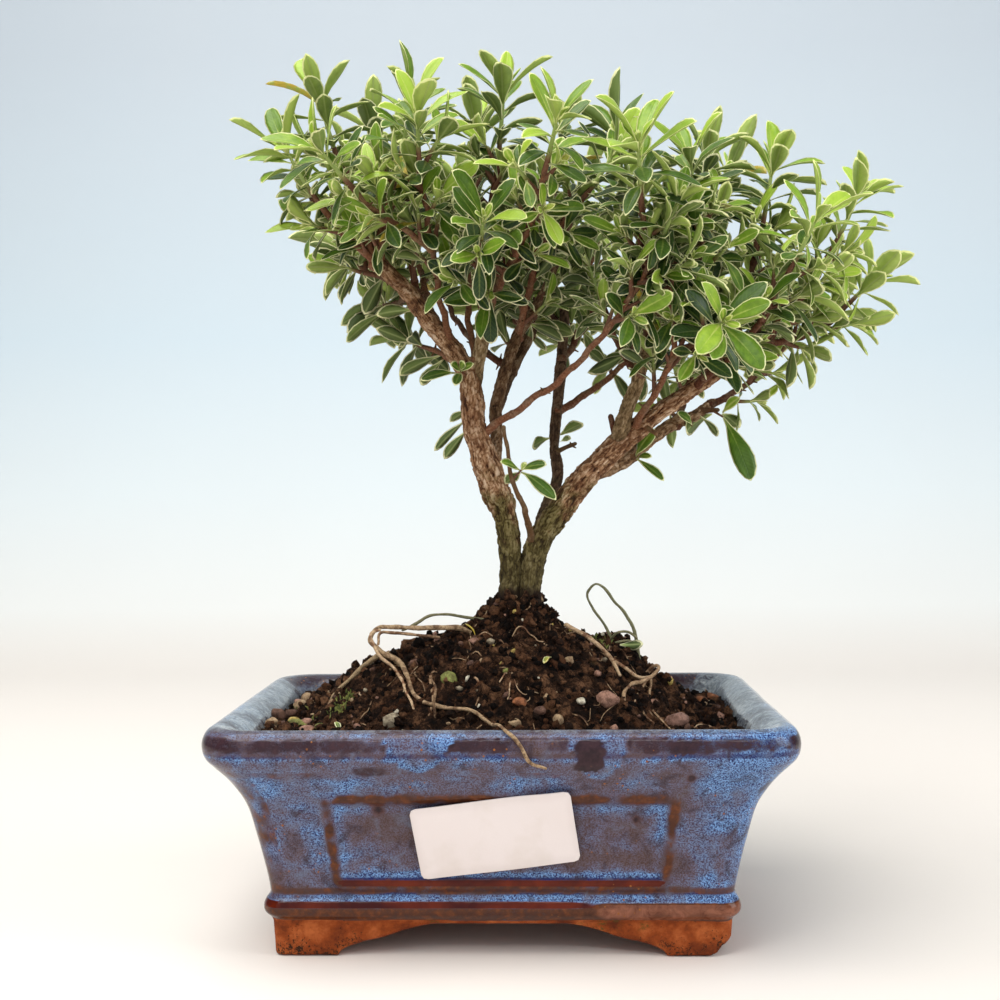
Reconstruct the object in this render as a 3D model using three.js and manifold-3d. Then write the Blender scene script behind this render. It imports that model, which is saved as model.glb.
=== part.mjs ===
// A serissa bonsai in a glazed pot: a twin-trunked little tree with small cream-edged leaves, its mound of
// soil, bare roots and pebbles, in a rectangular stoneware pot with flared walls and cloud-shaped feet.
// Millimetres, +Z up. Every shape is made about the middle of the pot's underside, and the last group
// carries the whole to the frame whose origin is the bottom centre of the overall box.
import * as THREE from "three";
import { mergeVertices } from "three/addons/utils/BufferGeometryUtils.js";
import Module from "manifold-3d";

const wasm = await Module();
wasm.setup();

// ---- Driving dimensions ----
const FRAME_SHIFT = new THREE.Vector3(-24.35, -3.45, 0); // from the pot's middle to the overall box's middle
const FIT = 0.3; // clearance between pieces that touch

const POT_DEPTH_LESS = 22.5; // the pot's half depth is its half width less this
const POT_FLOOR_UNDER = 10;
const POT_FLOOR_TOP = 15.5;
const FOOT_WALL = 9; // thickness of the foot ring
const RING_CORNER_STEPS = 5; // points on each rounded corner of the plan
const SOIL_CORNER = 8; // plan corner of the mound's rings
const SOIL_SIDE_STEPS = 5; // steps along each straight side of the soil's rings

const ARCH_HEIGHT = 9.5; // open height between the feet
const FRONT_ARCH_HALF = 47; // half width of the opening at the table, front and back
const FRONT_ARCH_TOP_HALF = 19;
const SIDE_ARCH_HALF = 25;
const SIDE_ARCH_TOP_HALF = 9;
const ARCH_TOE_WIDTH = 7.5; // the steep part of the arch beside each foot
const ARCH_TOE_HEIGHT = 4.1;
const ARCH_CURL = 5.5; // how far beyond the level top the long slope bends over

const FRAME_RIDGE_WIDTH = 3.4; // raised frames on the walls
const FRAME_RIDGE_HEIGHT = 1;
const FRAME_BOTTOM = 19.6;
const FRAME_TOP = 49.2;
const FRONT_FRAME_HALF_TOP = 51.5;
const FRONT_FRAME_HALF_BOTTOM = 48.5;
const SIDE_FRAME_HALF_TOP = 30;
const SIDE_FRAME_HALF_BOTTOM = 27;

const DRAIN_RADIUS = 6;
const DRAIN_SIDES = 16;
const DRAIN_BORE = 20; // length of the cutter, more than the floor's thickness
const DRAIN_X = 32;
const MESH_SIZE = 26; // square plastic screens over the drain holes
const MESH_THICKNESS = 1;
const MESH_HOLES = 3; // holes along each side of a screen
const MESH_BAR = 3;

const LABEL_WIDTH = 45.7;
const LABEL_HEIGHT = 22.8;
const LABEL_THICKNESS = 0.3;
const LABEL_CORNER = 2;
const LABEL_MIDDLE_X = -1.4;
const LABEL_MIDDLE_Z = 37;
const LABEL_TURN = THREE.MathUtils.degToRad(7.8);

const SOIL_EDGE_LEVEL = 63;
const MOUND_RISE = 28;
const MOUND_PEAK_X = 4;
const MOUND_PEAK_Y = 2;
const MOUND_REACH_LEFT = 72;
const MOUND_REACH_RIGHT = 60;
const MOUND_REACH_DEPTH = 52;
const COLLAR_RISE = 6; // the steeper cone of soil at the foot of the trunk
const COLLAR_REACH = 0.2; // as a share of the mound's reach
const LUMP = { x: 38, y: 6, rise: 4, reach: 8 }; // the shoulder of soil on the right

const TRUNK_SIDES = 9;
const BOUGH_SIDES = 7;
const TWIG_SIDES = 5;
const ROOT_SIDES = 6;

const LEAF_WIDTH_SHARE = 0.4; // a leaf's width as a share of its length
const LEAF_WIDEST = 0.58; // where along it a leaf is widest
const LEAF_KEEL = 0.7; // depth of the midrib's keel under the blade
const LEAF_NECK = 0.4; // radius of a leaf's foot
const LEAF_MARGIN = 1.08; // growth of a leaf while its clearance is tested
const LEAF_MARGIN_THICK = 1.6; // the same for its thickness
const LEAF_PAIRS = [
  // share of the shoot's length, angle from the stem in degrees, leaf length
  { at: 0.4, lean: 72, length: 14 },
  { at: 0.72, lean: 56, length: 14.5 },
  { at: 0.94, lean: 30, length: 13 },
];
const GOLDEN_ANGLE = THREE.MathUtils.degToRad(137.5);
const STEM_SIDES = 5;
const STEM_TIP = 0.6; // a green stem's radius at its end

// ---- Materials ----
const material = (color, roughness) => new THREE.MeshStandardMaterial({ color, roughness, metalness: 0 });
const GLAZE = material(0x3f5f93, 0.25);
const BARK = material(0x7a5b47, 0.85);
const LEAF = material(0x5f8f3f, 0.45);
const SOIL = material(0x2b1d16, 0.95);
const ROOT = material(0xa88f6a, 0.8);
const STONE = material(0x9c7a66, 0.85);
const SCREEN = material(0x1d1d1f, 0.6);
const PAPER = material(0xf4f4f1, 0.7);

// ---- Solids and meshes ----
const SAME_POINT = 1e-4; // vertices this near are one

function solidOf(geometry) {
  const bare = new THREE.BufferGeometry();
  bare.setAttribute("position", geometry.getAttribute("position"));
  bare.setIndex(geometry.getIndex());
  const merged = mergeVertices(bare, SAME_POINT);
  const position = merged.getAttribute("position").array;
  const index = merged.getIndex().array;
  const triVerts = [];
  for (let i = 0; i < index.length; i += 3) {
    const [a, b, c] = index.slice(i, i + 3);
    if (a !== b && b !== c && c !== a) triVerts.push(a, b, c);
  }
  return new wasm.Manifold(
    new wasm.Mesh({
      numProp: 3,
      vertProperties: Float32Array.from(position),
      triVerts: Uint32Array.from(triVerts),
    }),
  );
}

function geometryOf(solid) {
  const mesh = solid.getMesh();
  const geometry = new THREE.BufferGeometry();
  geometry.setAttribute("position", new THREE.BufferAttribute(mesh.vertProperties, 3));
  geometry.setIndex(new THREE.BufferAttribute(mesh.triVerts, 1));
  geometry.computeVertexNormals();
  return geometry;
}

const tree = new THREE.Group();
tree.position.copy(FRAME_SHIFT);

function addPiece(name, solid, finish) {
  const mesh = new THREE.Mesh(geometryOf(solid), finish);
  mesh.name = name;
  tree.add(mesh);
}

const joined = (solids) => solids.reduce((whole, next) => whole.add(next));

// ---- Rings and skins: a pot wall or a soil body is a stack of closed rings ----
// One ring of a rounded rectangle, counter-clockwise seen from above, with its straight sides in sideSteps.
function roundedRing(halfX, halfY, corner, z, sideSteps = 1) {
  const corners = [];
  const middles = [
    [halfX - corner, halfY - corner],
    [corner - halfX, halfY - corner],
    [corner - halfX, corner - halfY],
    [halfX - corner, corner - halfY],
  ];
  middles.forEach(([x, y], quarter) => {
    const points = [];
    for (let step = 0; step < RING_CORNER_STEPS; step++) {
      const angle = (quarter + step / (RING_CORNER_STEPS - 1)) * (Math.PI / 2);
      points.push(new THREE.Vector3(x + corner * Math.cos(angle), y + corner * Math.sin(angle), z));
    }
    corners.push(points);
  });
  return corners.flatMap((points, quarter) => {
    const from = points[points.length - 1];
    const to = corners[(quarter + 1) % 4][0];
    const side = [];
    for (let step = 1; step < sideSteps; step++) side.push(from.clone().lerp(to, step / sideSteps));
    return [...points, ...side];
  });
}

// Skin over a stack of rings, closed at each end by a fan to a centre point.
function skin(rings, firstCentre, lastCentre) {
  const count = rings[0].length;
  const points = [...rings.flat(), firstCentre, lastCentre];
  const first = points.length - 2;
  const last = points.length - 1;
  const index = [];
  for (let r = 0; r + 1 < rings.length; r++) {
    for (let i = 0; i < count; i++) {
      const j = (i + 1) % count;
      const a = r * count + i;
      const b = r * count + j;
      index.push(a, b, b + count, a, b + count, a + count);
    }
  }
  const top = (rings.length - 1) * count;
  for (let i = 0; i < count; i++) {
    const j = (i + 1) % count;
    index.push(first, j, i, last, top + i, top + j);
  }
  const geometry = new THREE.BufferGeometry().setFromPoints(points);
  geometry.setIndex(index);
  return geometry;
}

// ---- Pot ----
// Outer wall from the foot to the rim: [height, half width, plan corner radius].
const POT_OUTSIDE = [
  [0, 66, 3],
  [8, 66.5, 3],
  [10.8, 66.7, 4],
  [12, 67.6, 5],
  [14.5, 69.2, 6],
  [17, 68.3, 6],
  [19, 67.8, 6],
  [26, 69.1, 7],
  [35, 71.2, 8],
  [44, 73.7, 9],
  [49, 76.4, 10],
  [53, 79.2, 11],
  [56.5, 82.2, 12],
  [59, 84.2, 13],
  [62, 85, 13.5],
  [65, 84.6, 13.5],
  [67, 83.4, 13],
  [68, 81.5, 12],
];
// Inner wall from the rim down to the pot's floor.
const POT_INSIDE = [
  [67.6, 79, 11],
  [66.4, 76.8, 10],
  [63.6, 73.4, 8],
  [60, 72, 7],
  [50, 70, 7],
  [35, 66.5, 6],
  [20, 62, 6],
  [POT_FLOOR_TOP, 59, 6],
];

const potRing = ([z, halfWidth, corner], sideSteps) =>
  roundedRing(halfWidth, halfWidth - POT_DEPTH_LESS, corner, z, sideSteps);

// Half width of the outer wall at height z.
function wallAt(z) {
  const above = POT_OUTSIDE.findIndex(([height]) => height >= z);
  const [z1, a1] = POT_OUTSIDE[above];
  const [z0, a0] = POT_OUTSIDE[above - 1];
  return THREE.MathUtils.mapLinear(z, z0, z1, a0, a1);
}

// Opening between two feet: a cloud-shaped arch, extruded through the foot ring.
function footArch(halfWidth, topHalf, reach) {
  const below = -1;
  const toeEnd = halfWidth - ARCH_TOE_WIDTH;
  const shape = new THREE.Shape();
  shape.moveTo(-halfWidth, below);
  shape.lineTo(halfWidth, below);
  shape.lineTo(halfWidth, 0);
  shape.quadraticCurveTo(halfWidth - 1, ARCH_TOE_HEIGHT, toeEnd, ARCH_TOE_HEIGHT);
  shape.quadraticCurveTo(topHalf + ARCH_CURL, ARCH_HEIGHT, topHalf, ARCH_HEIGHT);
  shape.lineTo(-topHalf, ARCH_HEIGHT);
  shape.quadraticCurveTo(-topHalf - ARCH_CURL, ARCH_HEIGHT, -toeEnd, ARCH_TOE_HEIGHT);
  shape.quadraticCurveTo(1 - halfWidth, ARCH_TOE_HEIGHT, -halfWidth, 0);
  const arch = new THREE.ExtrudeGeometry(shape, { depth: 2 * reach, bevelEnabled: false, curveSegments: 4 });
  return arch.rotateX(Math.PI / 2).translate(0, reach, 0);
}

// Raised frame on the wall that faces -Y. It is drawn in width and height, then each point is carried out to
// the flared wall. wallOut(z) is the wall's distance from the pot's middle.
function raisedFrame(halfTop, halfBottom, wallOut) {
  const rise = [0.25, 0.5, 0.75];
  const outline = (inset) => {
    const low = FRAME_BOTTOM + inset;
    const high = FRAME_TOP - inset;
    const lowX = halfBottom - inset;
    const highX = halfTop - inset;
    const side = rise.map((t) => [THREE.MathUtils.lerp(lowX, highX, t), THREE.MathUtils.lerp(low, high, t)]);
    const right = [[lowX, low], ...side, [highX, high]];
    const left = right.map(([x, z]) => [-x, z]).reverse();
    return [...right, ...left].map(([x, z]) => new THREE.Vector2(x, z));
  };
  const shape = new THREE.Shape(outline(0));
  shape.holes.push(new THREE.Path(outline(FRAME_RIDGE_WIDTH)));
  const frame = new THREE.ExtrudeGeometry(shape, { depth: 1, bevelEnabled: false });
  const position = frame.getAttribute("position");
  const sunk = 1; // how deep the frame starts inside the wall
  for (let i = 0; i < position.count; i++) {
    const z = position.getY(i);
    const out = wallOut(z) - sunk + position.getZ(i) * (sunk + FRAME_RIDGE_HEIGHT);
    position.setXYZ(i, position.getX(i), -out, z);
  }
  return frame;
}

function makePot() {
  const footInside = POT_OUTSIDE[0][1] - FOOT_WALL;
  const rings = [
    potRing([POT_FLOOR_UNDER, footInside, 2]),
    potRing([0, footInside, 2]),
    ...POT_OUTSIDE.map((level) => potRing(level)),
    ...POT_INSIDE.map((level) => potRing(level)),
  ];
  const under = new THREE.Vector3(0, 0, POT_FLOOR_UNDER);
  const floor = new THREE.Vector3(0, 0, POT_FLOOR_TOP);
  let pot = solidOf(skin(rings, under, floor));
  const frontWall = (z) => wallAt(z) - POT_DEPTH_LESS;
  for (const turn of [0, Math.PI]) {
    const front = raisedFrame(FRONT_FRAME_HALF_TOP, FRONT_FRAME_HALF_BOTTOM, frontWall);
    const side = raisedFrame(SIDE_FRAME_HALF_TOP, SIDE_FRAME_HALF_BOTTOM, wallAt);
    pot = pot.add(solidOf(front.rotateZ(turn)));
    pot = pot.add(solidOf(side.rotateZ(turn + Math.PI / 2)));
  }
  const through = 90;
  pot = pot.subtract(solidOf(footArch(FRONT_ARCH_HALF, FRONT_ARCH_TOP_HALF, through)));
  pot = pot.subtract(solidOf(footArch(SIDE_ARCH_HALF, SIDE_ARCH_TOP_HALF, through).rotateZ(Math.PI / 2)));
  for (const x of [-DRAIN_X, DRAIN_X]) {
    const hole = new THREE.CylinderGeometry(DRAIN_RADIUS, DRAIN_RADIUS, DRAIN_BORE, DRAIN_SIDES);
    pot = pot.subtract(solidOf(hole.rotateX(Math.PI / 2).translate(x, 0, POT_FLOOR_UNDER)));
  }
  return pot;
}

// A square screen with a grid of square holes, lying on the pot's floor.
function drainScreen(x) {
  const level = POT_FLOOR_TOP + FIT + MESH_THICKNESS / 2;
  const plate = new THREE.BoxGeometry(MESH_SIZE, MESH_SIZE, MESH_THICKNESS);
  let screen = solidOf(plate.translate(x, 0, level));
  const pitch = (MESH_SIZE - MESH_BAR) / MESH_HOLES;
  for (let i = 0; i < MESH_HOLES; i++) {
    for (let j = 0; j < MESH_HOLES; j++) {
      const holeX = x + (i - (MESH_HOLES - 1) / 2) * pitch;
      const holeY = (j - (MESH_HOLES - 1) / 2) * pitch;
      const hole = new THREE.BoxGeometry(pitch - MESH_BAR, pitch - MESH_BAR, 2 * MESH_THICKNESS);
      screen = screen.subtract(solidOf(hole.translate(holeX, holeY, level)));
    }
  }
  return screen;
}

// The pocket that the soil leaves around a screen.
function screenPocket(x) {
  const side = MESH_SIZE + 2 * FIT;
  const height = 2 * (MESH_THICKNESS + 2 * FIT);
  return solidOf(new THREE.BoxGeometry(side, side, height).translate(x, 0, POT_FLOOR_TOP + FIT));
}

// ---- Paper label, leaning on the raised frame's top and bottom ridges ----
function makeLabel() {
  const w = LABEL_WIDTH / 2;
  const h = LABEL_HEIGHT / 2;
  const r = LABEL_CORNER;
  const shape = new THREE.Shape();
  shape.moveTo(r - w, -h);
  shape.lineTo(w - r, -h);
  shape.absarc(w - r, r - h, r, -Math.PI / 2, 0);
  shape.absarc(w - r, h - r, r, 0, Math.PI / 2);
  shape.absarc(r - w, h - r, r, Math.PI / 2, Math.PI);
  shape.absarc(r - w, r - h, r, Math.PI, 1.5 * Math.PI);
  const ridgeFace = (z) => wallAt(z) - POT_DEPTH_LESS + FRAME_RIDGE_HEIGHT + FIT;
  const lowRidge = FRAME_BOTTOM + FRAME_RIDGE_WIDTH;
  const lean = Math.atan2(ridgeFace(FRAME_TOP) - ridgeFace(lowRidge), FRAME_TOP - lowRidge);
  const out = THREE.MathUtils.mapLinear(
    LABEL_MIDDLE_Z, lowRidge, FRAME_TOP, ridgeFace(lowRidge), ridgeFace(FRAME_TOP));
  const label = new THREE.ExtrudeGeometry(shape, {
    depth: LABEL_THICKNESS, bevelEnabled: false, curveSegments: 3,
  });
  label.rotateZ(LABEL_TURN).rotateX(Math.PI / 2 + lean);
  return solidOf(label.translate(LABEL_MIDDLE_X, -out, LABEL_MIDDLE_Z));
}

// ---- Limbs: a unit cylinder whose rings are carried along a curve ----
// points are [x, y, z, radius]. grow adds to every radius and to both ends.
function limb(points, sides, steps, grow = 0) {
  const path = points.map(([x, y, z]) => new THREE.Vector3(x, y, z));
  const curve = new THREE.CatmullRomCurve3(path, false, "centripetal");
  const frames = curve.computeFrenetFrames(steps, false);
  const unit = new THREE.CylinderGeometry(1, 1, 1, sides, steps);
  const position = unit.getAttribute("position");
  for (let i = 0; i < position.count; i++) {
    const along = position.getY(i) + 0.5;
    const step = Math.round(along * steps);
    const t = curve.getUtoTmapping(along);
    const knot = Math.min(t * (points.length - 1), points.length - 1 - 1e-9);
    const k = Math.floor(knot);
    const radius = grow + THREE.MathUtils.lerp(points[k][3], points[k + 1][3], knot - k);
    const centre = curve.getPointAt(along);
    const endShift = step === 0 ? -grow : step === steps ? grow : 0;
    centre.addScaledVector(frames.tangents[step], endShift);
    centre.addScaledVector(frames.normals[step], position.getZ(i) * radius);
    centre.addScaledVector(frames.binormals[step], position.getX(i) * radius);
    position.setXYZ(i, centre.x, centre.y, centre.z);
  }
  return solidOf(unit);
}

// Each limb starts inside the one it grows from. shoot is the length of the green shoot on its end, or 0.
const TRUNKS = [
  // left trunk
  {
    points: [
      [2.2, 0, 84, 5], [2.2, 0, 98, 3.6], [2.3, 0, 110, 3.4], [1.7, 0, 120, 3.6], [0.4, 0, 128, 3.9],
      [-2.4, -1, 134.6, 4.4], [-4.6, -2, 141, 4.3], [-6.8, -2.5, 148.5, 3.8], [-9, -3, 156, 3.7],
      [-9.2, -4, 163.5, 3.7], [-10, -4, 172, 3.2],
    ],
  },
  // right trunk
  {
    points: [
      [7.4, 0, 84, 5], [8.2, 0, 98, 3.7], [9.2, 0, 106.6, 3.6], [10.3, 1, 113, 4], [12.2, 1, 118.5, 4],
      [15.7, 2, 124, 4.3], [19.4, 2, 129, 4.2], [23, 3, 134.4, 3.9], [27.8, 3, 140, 3.8],
      [33.2, 4, 145, 3.8], [38, 5, 149.5, 4.1], [45, 6, 155, 3], [53, 6, 161, 2.8],
      [62, 7, 167, 2.4], [71, 7, 173, 2.1], [79, 8, 178, 1.8], [86, 8, 184, 1.4],
    ],
  },
];
const BOUGHS = [
  // left bough
  {
    points: [
      [-9, -4, 167, 3.1], [-13, -4, 176, 3.1], [-18, -5, 183, 3], [-24, -6, 190, 2.8],
      [-29, -7, 197, 2.6], [-34, -8, 202, 2.5], [-39, -9, 208, 2.2],
    ],
  },
  // tan stem
  {
    points: [
      [-8, -4, 169, 2.1], [-7, -5, 177, 2.1], [-5, -7, 186, 2], [-3, -8, 195, 1.9],
      [-1, -10, 205, 1.7],
    ],
  },
  // second stem
  {
    shoot: 22,
    points: [
      [-5, 0, 137, 2.6], [-2, 4, 150, 2.3], [-2, 8, 162, 2.1], [1, 12, 174, 2], [5, 16, 186, 1.8],
      [10, 20, 194, 1.6], [14, 24, 202, 1.4], [18, 28, 211, 1.2], [22, 31, 222, 1],
    ],
  },
  // dark branch
  {
    shoot: 20,
    points: [[-2, 7, 160, 1.8], [3, 20, 175, 2], [9, 30, 188, 1.9], [13, 38, 199, 1.5], [16, 44, 209, 1.1]],
  },
  // back stem
  {
    points: [
      [12, 1, 112, 2.2], [12, 8, 123, 2.1], [15, 15, 131, 2], [18, 20, 139, 1.9], [17, 26, 150, 1.9],
      [18, 31, 161, 1.9], [19, 35, 171, 1.9], [20, 39, 182, 1.8], [21, 43, 192, 1.7], [21, 46, 202, 1.5],
    ],
  },
  // knot stem
  {
    points: [
      [37, 4, 149, 2.7], [40, 1, 160, 2.4], [43, -2, 168, 2.2], [45, -6, 177, 2.1],
      [48, -10, 186, 1.9], [50, -13, 196, 1.6],
    ],
  },
  // low bough
  {
    points: [
      [30, 4, 140, 2.6], [40, 12, 144, 2.3], [50, 18, 152, 2.2], [58, 22, 157, 2],
      [64, 25, 159, 1.9], [71, 29, 164, 1.6],
    ],
  },
];
const TWIGS = [
  // left side
  {
    shoot: 20,
    points: [
      [-39, -9, 206, 1.9], [-43, -10, 217, 1.6], [-46, -12, 227, 1.3], [-50, -14, 238, 1],
    ],
  },
  {
    shoot: 22,
    points: [
      [-38, -9, 206, 1.8], [-36, -14, 216, 1.5], [-33, -19, 224, 1.3], [-30, -24, 233, 1],
    ],
  },
  { shoot: 19, points: [[-39, -8, 207, 1.5], [-41, 0, 222, 1.2], [-41, 5, 236, 1]] },
  {
    shoot: 20,
    points: [
      [-38, -9, 206, 1.6], [-44, -12, 211, 1.3], [-50, -15, 217, 1.2], [-55, -18, 223, 1.1],
    ],
  },
  { shoot: 16, points: [[-33, -8, 201, 1.2], [-40, 0, 204, 1], [-45, 7, 207, 0.8]] },
  { shoot: 17, points: [[-29, -7, 196, 1.2], [-34, 4, 195, 1], [-38, 14, 196, 0.9]] },
  { shoot: 15, points: [[-11, -4, 171, 1.4], [-18, 2, 178, 1.1], [-24, 8, 181, 0.9]] },
  {
    shoot: 20,
    points: [
      [-25, -6, 191, 1.5], [-27, 0, 201, 1.3], [-30, 6, 212, 1.2], [-31, 10, 223, 1.1],
      [-32, 14, 234, 1],
    ],
  },
  {
    shoot: 15,
    points: [
      [-16, -5, 180, 1.3], [-19, -16, 196, 1.1], [-20, -28, 208, 1], [-21, -37, 218, 0.9],
      [-22, -44, 228, 0.8],
    ],
  },
  { shoot: 18, points: [[-20, -28, 207, 1.1], [-32, -40, 214, 0.9], [-40, -50, 220, 0.8]] },
  {
    shoot: 20,
    points: [
      [-20, -5, 185, 1.6], [-24, 8, 196, 1.3], [-28, 24, 208, 1.1], [-31, 38, 219, 0.9],
    ],
  },
  { shoot: 17, points: [[-25, 12, 199, 1.2], [-40, 24, 207, 1], [-50, 32, 214, 0.8]] },
  // above the left trunk
  {
    shoot: 18,
    points: [
      [-1, -10, 203, 1.5], [8, -17, 208, 1.3], [14, -22, 211, 1.1], [20, -28, 214, 1],
      [25, -32, 220, 0.9],
    ],
  },
  {
    shoot: 22,
    points: [
      [-1, -10, 203, 1.4], [-3, -14, 214, 1.2], [-2, -18, 225, 1.1], [0, -20, 235, 0.9],
    ],
  },
  {
    shoot: 18,
    points: [
      [-3, -8, 194, 1.4], [5, -28, 205, 1.2], [11, -44, 214, 1], [14, -56, 223, 0.8],
    ],
  },
  {
    shoot: 22,
    points: [
      [-8, -5, 176, 1.3], [-10, 0, 190, 1.1], [-10, 4, 206, 1], [-9, 7, 222, 0.9],
      [-9, 8, 234, 0.8],
    ],
  },
  { shoot: 13, points: [[-5, -7, 188, 1.2], [-6, -24, 196, 1], [-5, -40, 204, 0.8]] },
  {
    shoot: 22,
    points: [
      [5, 16, 185, 1.5], [9, 10, 200, 1.2], [13, 6, 215, 1.1], [17, 2, 229, 0.9],
    ],
  },
  { shoot: 20, points: [[10, 20, 193, 1.4], [2, 26, 206, 1.1], [-5, 29, 220, 0.9]] },
  { shoot: 20, points: [[9, 30, 187, 1.5], [1, 42, 198, 1.2], [-6, 53, 210, 0.9]] },
  { shoot: 20, points: [[3, 20, 174, 1.5], [-12, 34, 188, 1.2], [-20, 46, 201, 0.9]] },
  {
    shoot: 18,
    points: [
      [-7, -3, 151, 1.6], [-2, -5, 155, 1.4], [3, -7, 158, 1.3], [10, -12, 163, 1.2],
      [20, -20, 169, 1.1], [31, -32, 180, 1], [39, -41, 190, 0.9], [45, -47, 201, 0.8],
    ],
  },
  // above the back stem
  { shoot: 20, points: [[20, 38, 180, 1.5], [28, 50, 192, 1.2], [34, 60, 203, 0.9]] },
  { shoot: 20, points: [[21, 42, 189, 1.4], [15, 55, 200, 1.2], [9, 66, 211, 0.9]] },
  { shoot: 20, points: [[18, 31, 161, 1.5], [34, 42, 172, 1.2], [46, 51, 183, 0.9]] },
  { shoot: 20, points: [[21, 45, 199, 1.4], [29, 47, 212, 1.2], [34, 49, 225, 0.9]] },
  { shoot: 12, points: [[17, 24, 147, 0.9], [24, 21, 150, 0.7]] },
  // above the knot
  { shoot: 24, points: [[50, -13, 194, 1.5], [46, -18, 206, 1.2], [43, -21, 220, 0.9]] },
  { shoot: 22, points: [[50, -13, 193, 1.5], [56, -11, 206, 1.2], [60, -9, 220, 0.9]] },
  {
    shoot: 20,
    points: [
      [44, -4, 171, 1.4], [40, 3, 177, 1.2], [37, 10, 184, 1.1], [34, 15, 194, 0.9],
    ],
  },
  {
    shoot: 20,
    points: [
      [46, -8, 181, 1.4], [44, -26, 193, 1.1], [42, -42, 204, 1], [41, -53, 214, 0.8],
    ],
  },
  { shoot: 20, points: [[56, -10, 205, 1.2], [64, 2, 214, 1], [69, 9, 225, 0.9]] },
  {
    shoot: 16,
    points: [
      [42, 5, 153, 1.5], [47, -6, 163, 1.2], [51, -14, 170, 1.1], [53, -24, 179, 1],
      [51, -33, 189, 0.9], [50, -38, 199, 0.8],
    ],
  },
  { shoot: 14, points: [[52, -18, 174, 1], [58, -28, 177, 0.9], [61, -37, 179, 0.8]] },
  // right side
  {
    shoot: 20,
    points: [
      [66, 7, 169, 1.6], [66, -6, 181, 1.3], [63, -18, 192, 1.2], [61, -28, 203, 1],
      [59, -36, 213, 0.9],
    ],
  },
  {
    shoot: 20,
    points: [
      [85, 8, 183, 1.3], [94, 7, 192, 1.2], [101, 4, 202, 1], [106, 2, 211, 0.9],
    ],
  },
  {
    shoot: 15,
    points: [
      [82, 8, 180, 1.4], [95, 12, 183, 1.2], [106, 15, 188, 1], [113, 17, 194, 0.9],
    ],
  },
  { shoot: 20, points: [[78, 8, 177, 1.4], [84, 20, 188, 1.2], [88, 31, 200, 0.9]] },
  {
    shoot: 22,
    points: [
      [72, 7, 173, 1.5], [76, 2, 188, 1.2], [79, -3, 202, 1.1], [82, -7, 215, 0.9],
    ],
  },
  {
    shoot: 20,
    points: [
      [62, 7, 167, 1.5], [72, -8, 176, 1.2], [80, -20, 186, 1.1], [86, -30, 198, 0.9],
    ],
  },
  {
    shoot: 18,
    points: [
      [70, 28, 163, 1.4], [80, 33, 168, 1.2], [88, 36, 174, 1], [94, 38, 180, 0.9],
    ],
  },
  { shoot: 8, points: [[67, 26, 161, 1.1], [72, 24, 161, 0.8]] },
  {
    shoot: 20,
    points: [
      [58, 22, 156, 1.5], [63, 36, 168, 1.2], [68, 48, 180, 1], [72, 55, 192, 0.9],
    ],
  },
  { shoot: 11, points: [[46, 5, 155, 1], [49, -2, 152, 0.7]] },
];

// Bare stubs and spurs that carry no shoot.
const SPURS = [
  {
    points: [
      [10, -2, 114, 1.3], [7, -8, 127, 1], [4, -12, 137, 0.8], [2, -14, 146, 0.7],
      [1, -15, 154, 0.6],
    ],
  },
  { points: [[37, 5, 151, 1.4], [35, 4, 158, 0.9]] },
];

function makeTrunk() {
  const limbs = [
    ...TRUNKS.map(({ points }) => limb(points, TRUNK_SIDES, points.length)),
    ...BOUGHS.map(({ points }) => limb(points, BOUGH_SIDES, points.length - 1)),
    ...[...TWIGS, ...SPURS].map(({ points }) => limb(points, TWIG_SIDES, points.length - 1)),
  ];
  return joined(limbs);
}

// ---- Green shoots: a straight stem with opposite pairs of leaves, each pair square to the one below ----
const UP = new THREE.Vector3(0, 1, 0);

// One leaf is a three-sided cone in two steps: a narrow foot, its full width past the middle, then the tip.
// Two of its edges are the leaf's margins, and the third is the keel of its midrib underneath.
function leafBlade(length) {
  const blade = new THREE.ConeGeometry(1, 1, 3, 2);
  const position = blade.getAttribute("position");
  const steps = [
    { along: 0, halfWidth: LEAF_NECK, keel: LEAF_NECK },
    { along: LEAF_WIDEST, halfWidth: (length * LEAF_WIDTH_SHARE) / 2, keel: LEAF_KEEL },
    { along: 1, halfWidth: 0, keel: 0 },
  ];
  for (let i = 0; i < position.count; i++) {
    const level = position.getY(i) + 0.5;
    const step = steps[Math.round(2 * level)];
    const unit = 1 - level || 1;
    const side = position.getX(i) / unit;
    const under = position.getZ(i) / unit;
    position.setXYZ(i, side * step.halfWidth, step.along * length, under * step.keel);
  }
  return blade;
}

// Where one leaf of a shoot goes: on the stem's axis at the pair's height, leaning out from it.
function leafMatrix(base, facing, shootLength, pair, azimuth) {
  const lean = THREE.MathUtils.degToRad(pair.lean);
  const turn = new THREE.Matrix4().makeRotationY(azimuth);
  const tip = new THREE.Matrix4().makeRotationX(lean);
  const lift = new THREE.Matrix4().makeTranslation(0, pair.at * shootLength, 0);
  const whole = new THREE.Matrix4().compose(base, facing, new THREE.Vector3(1, 1, 1));
  return whole.multiply(lift).multiply(turn).multiply(tip);
}

const boxOf = (solid) => {
  const { min, max } = solid.boundingBox();
  return new THREE.Box3(new THREE.Vector3(...min), new THREE.Vector3(...max));
};

// True where a solid meets one of the pieces already placed.
function meetsAny(solid, placed) {
  const box = boxOf(solid);
  return placed.some((other) => box.intersectsBox(other.box) && solid.intersect(other.solid).volume() > 0);
}

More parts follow.
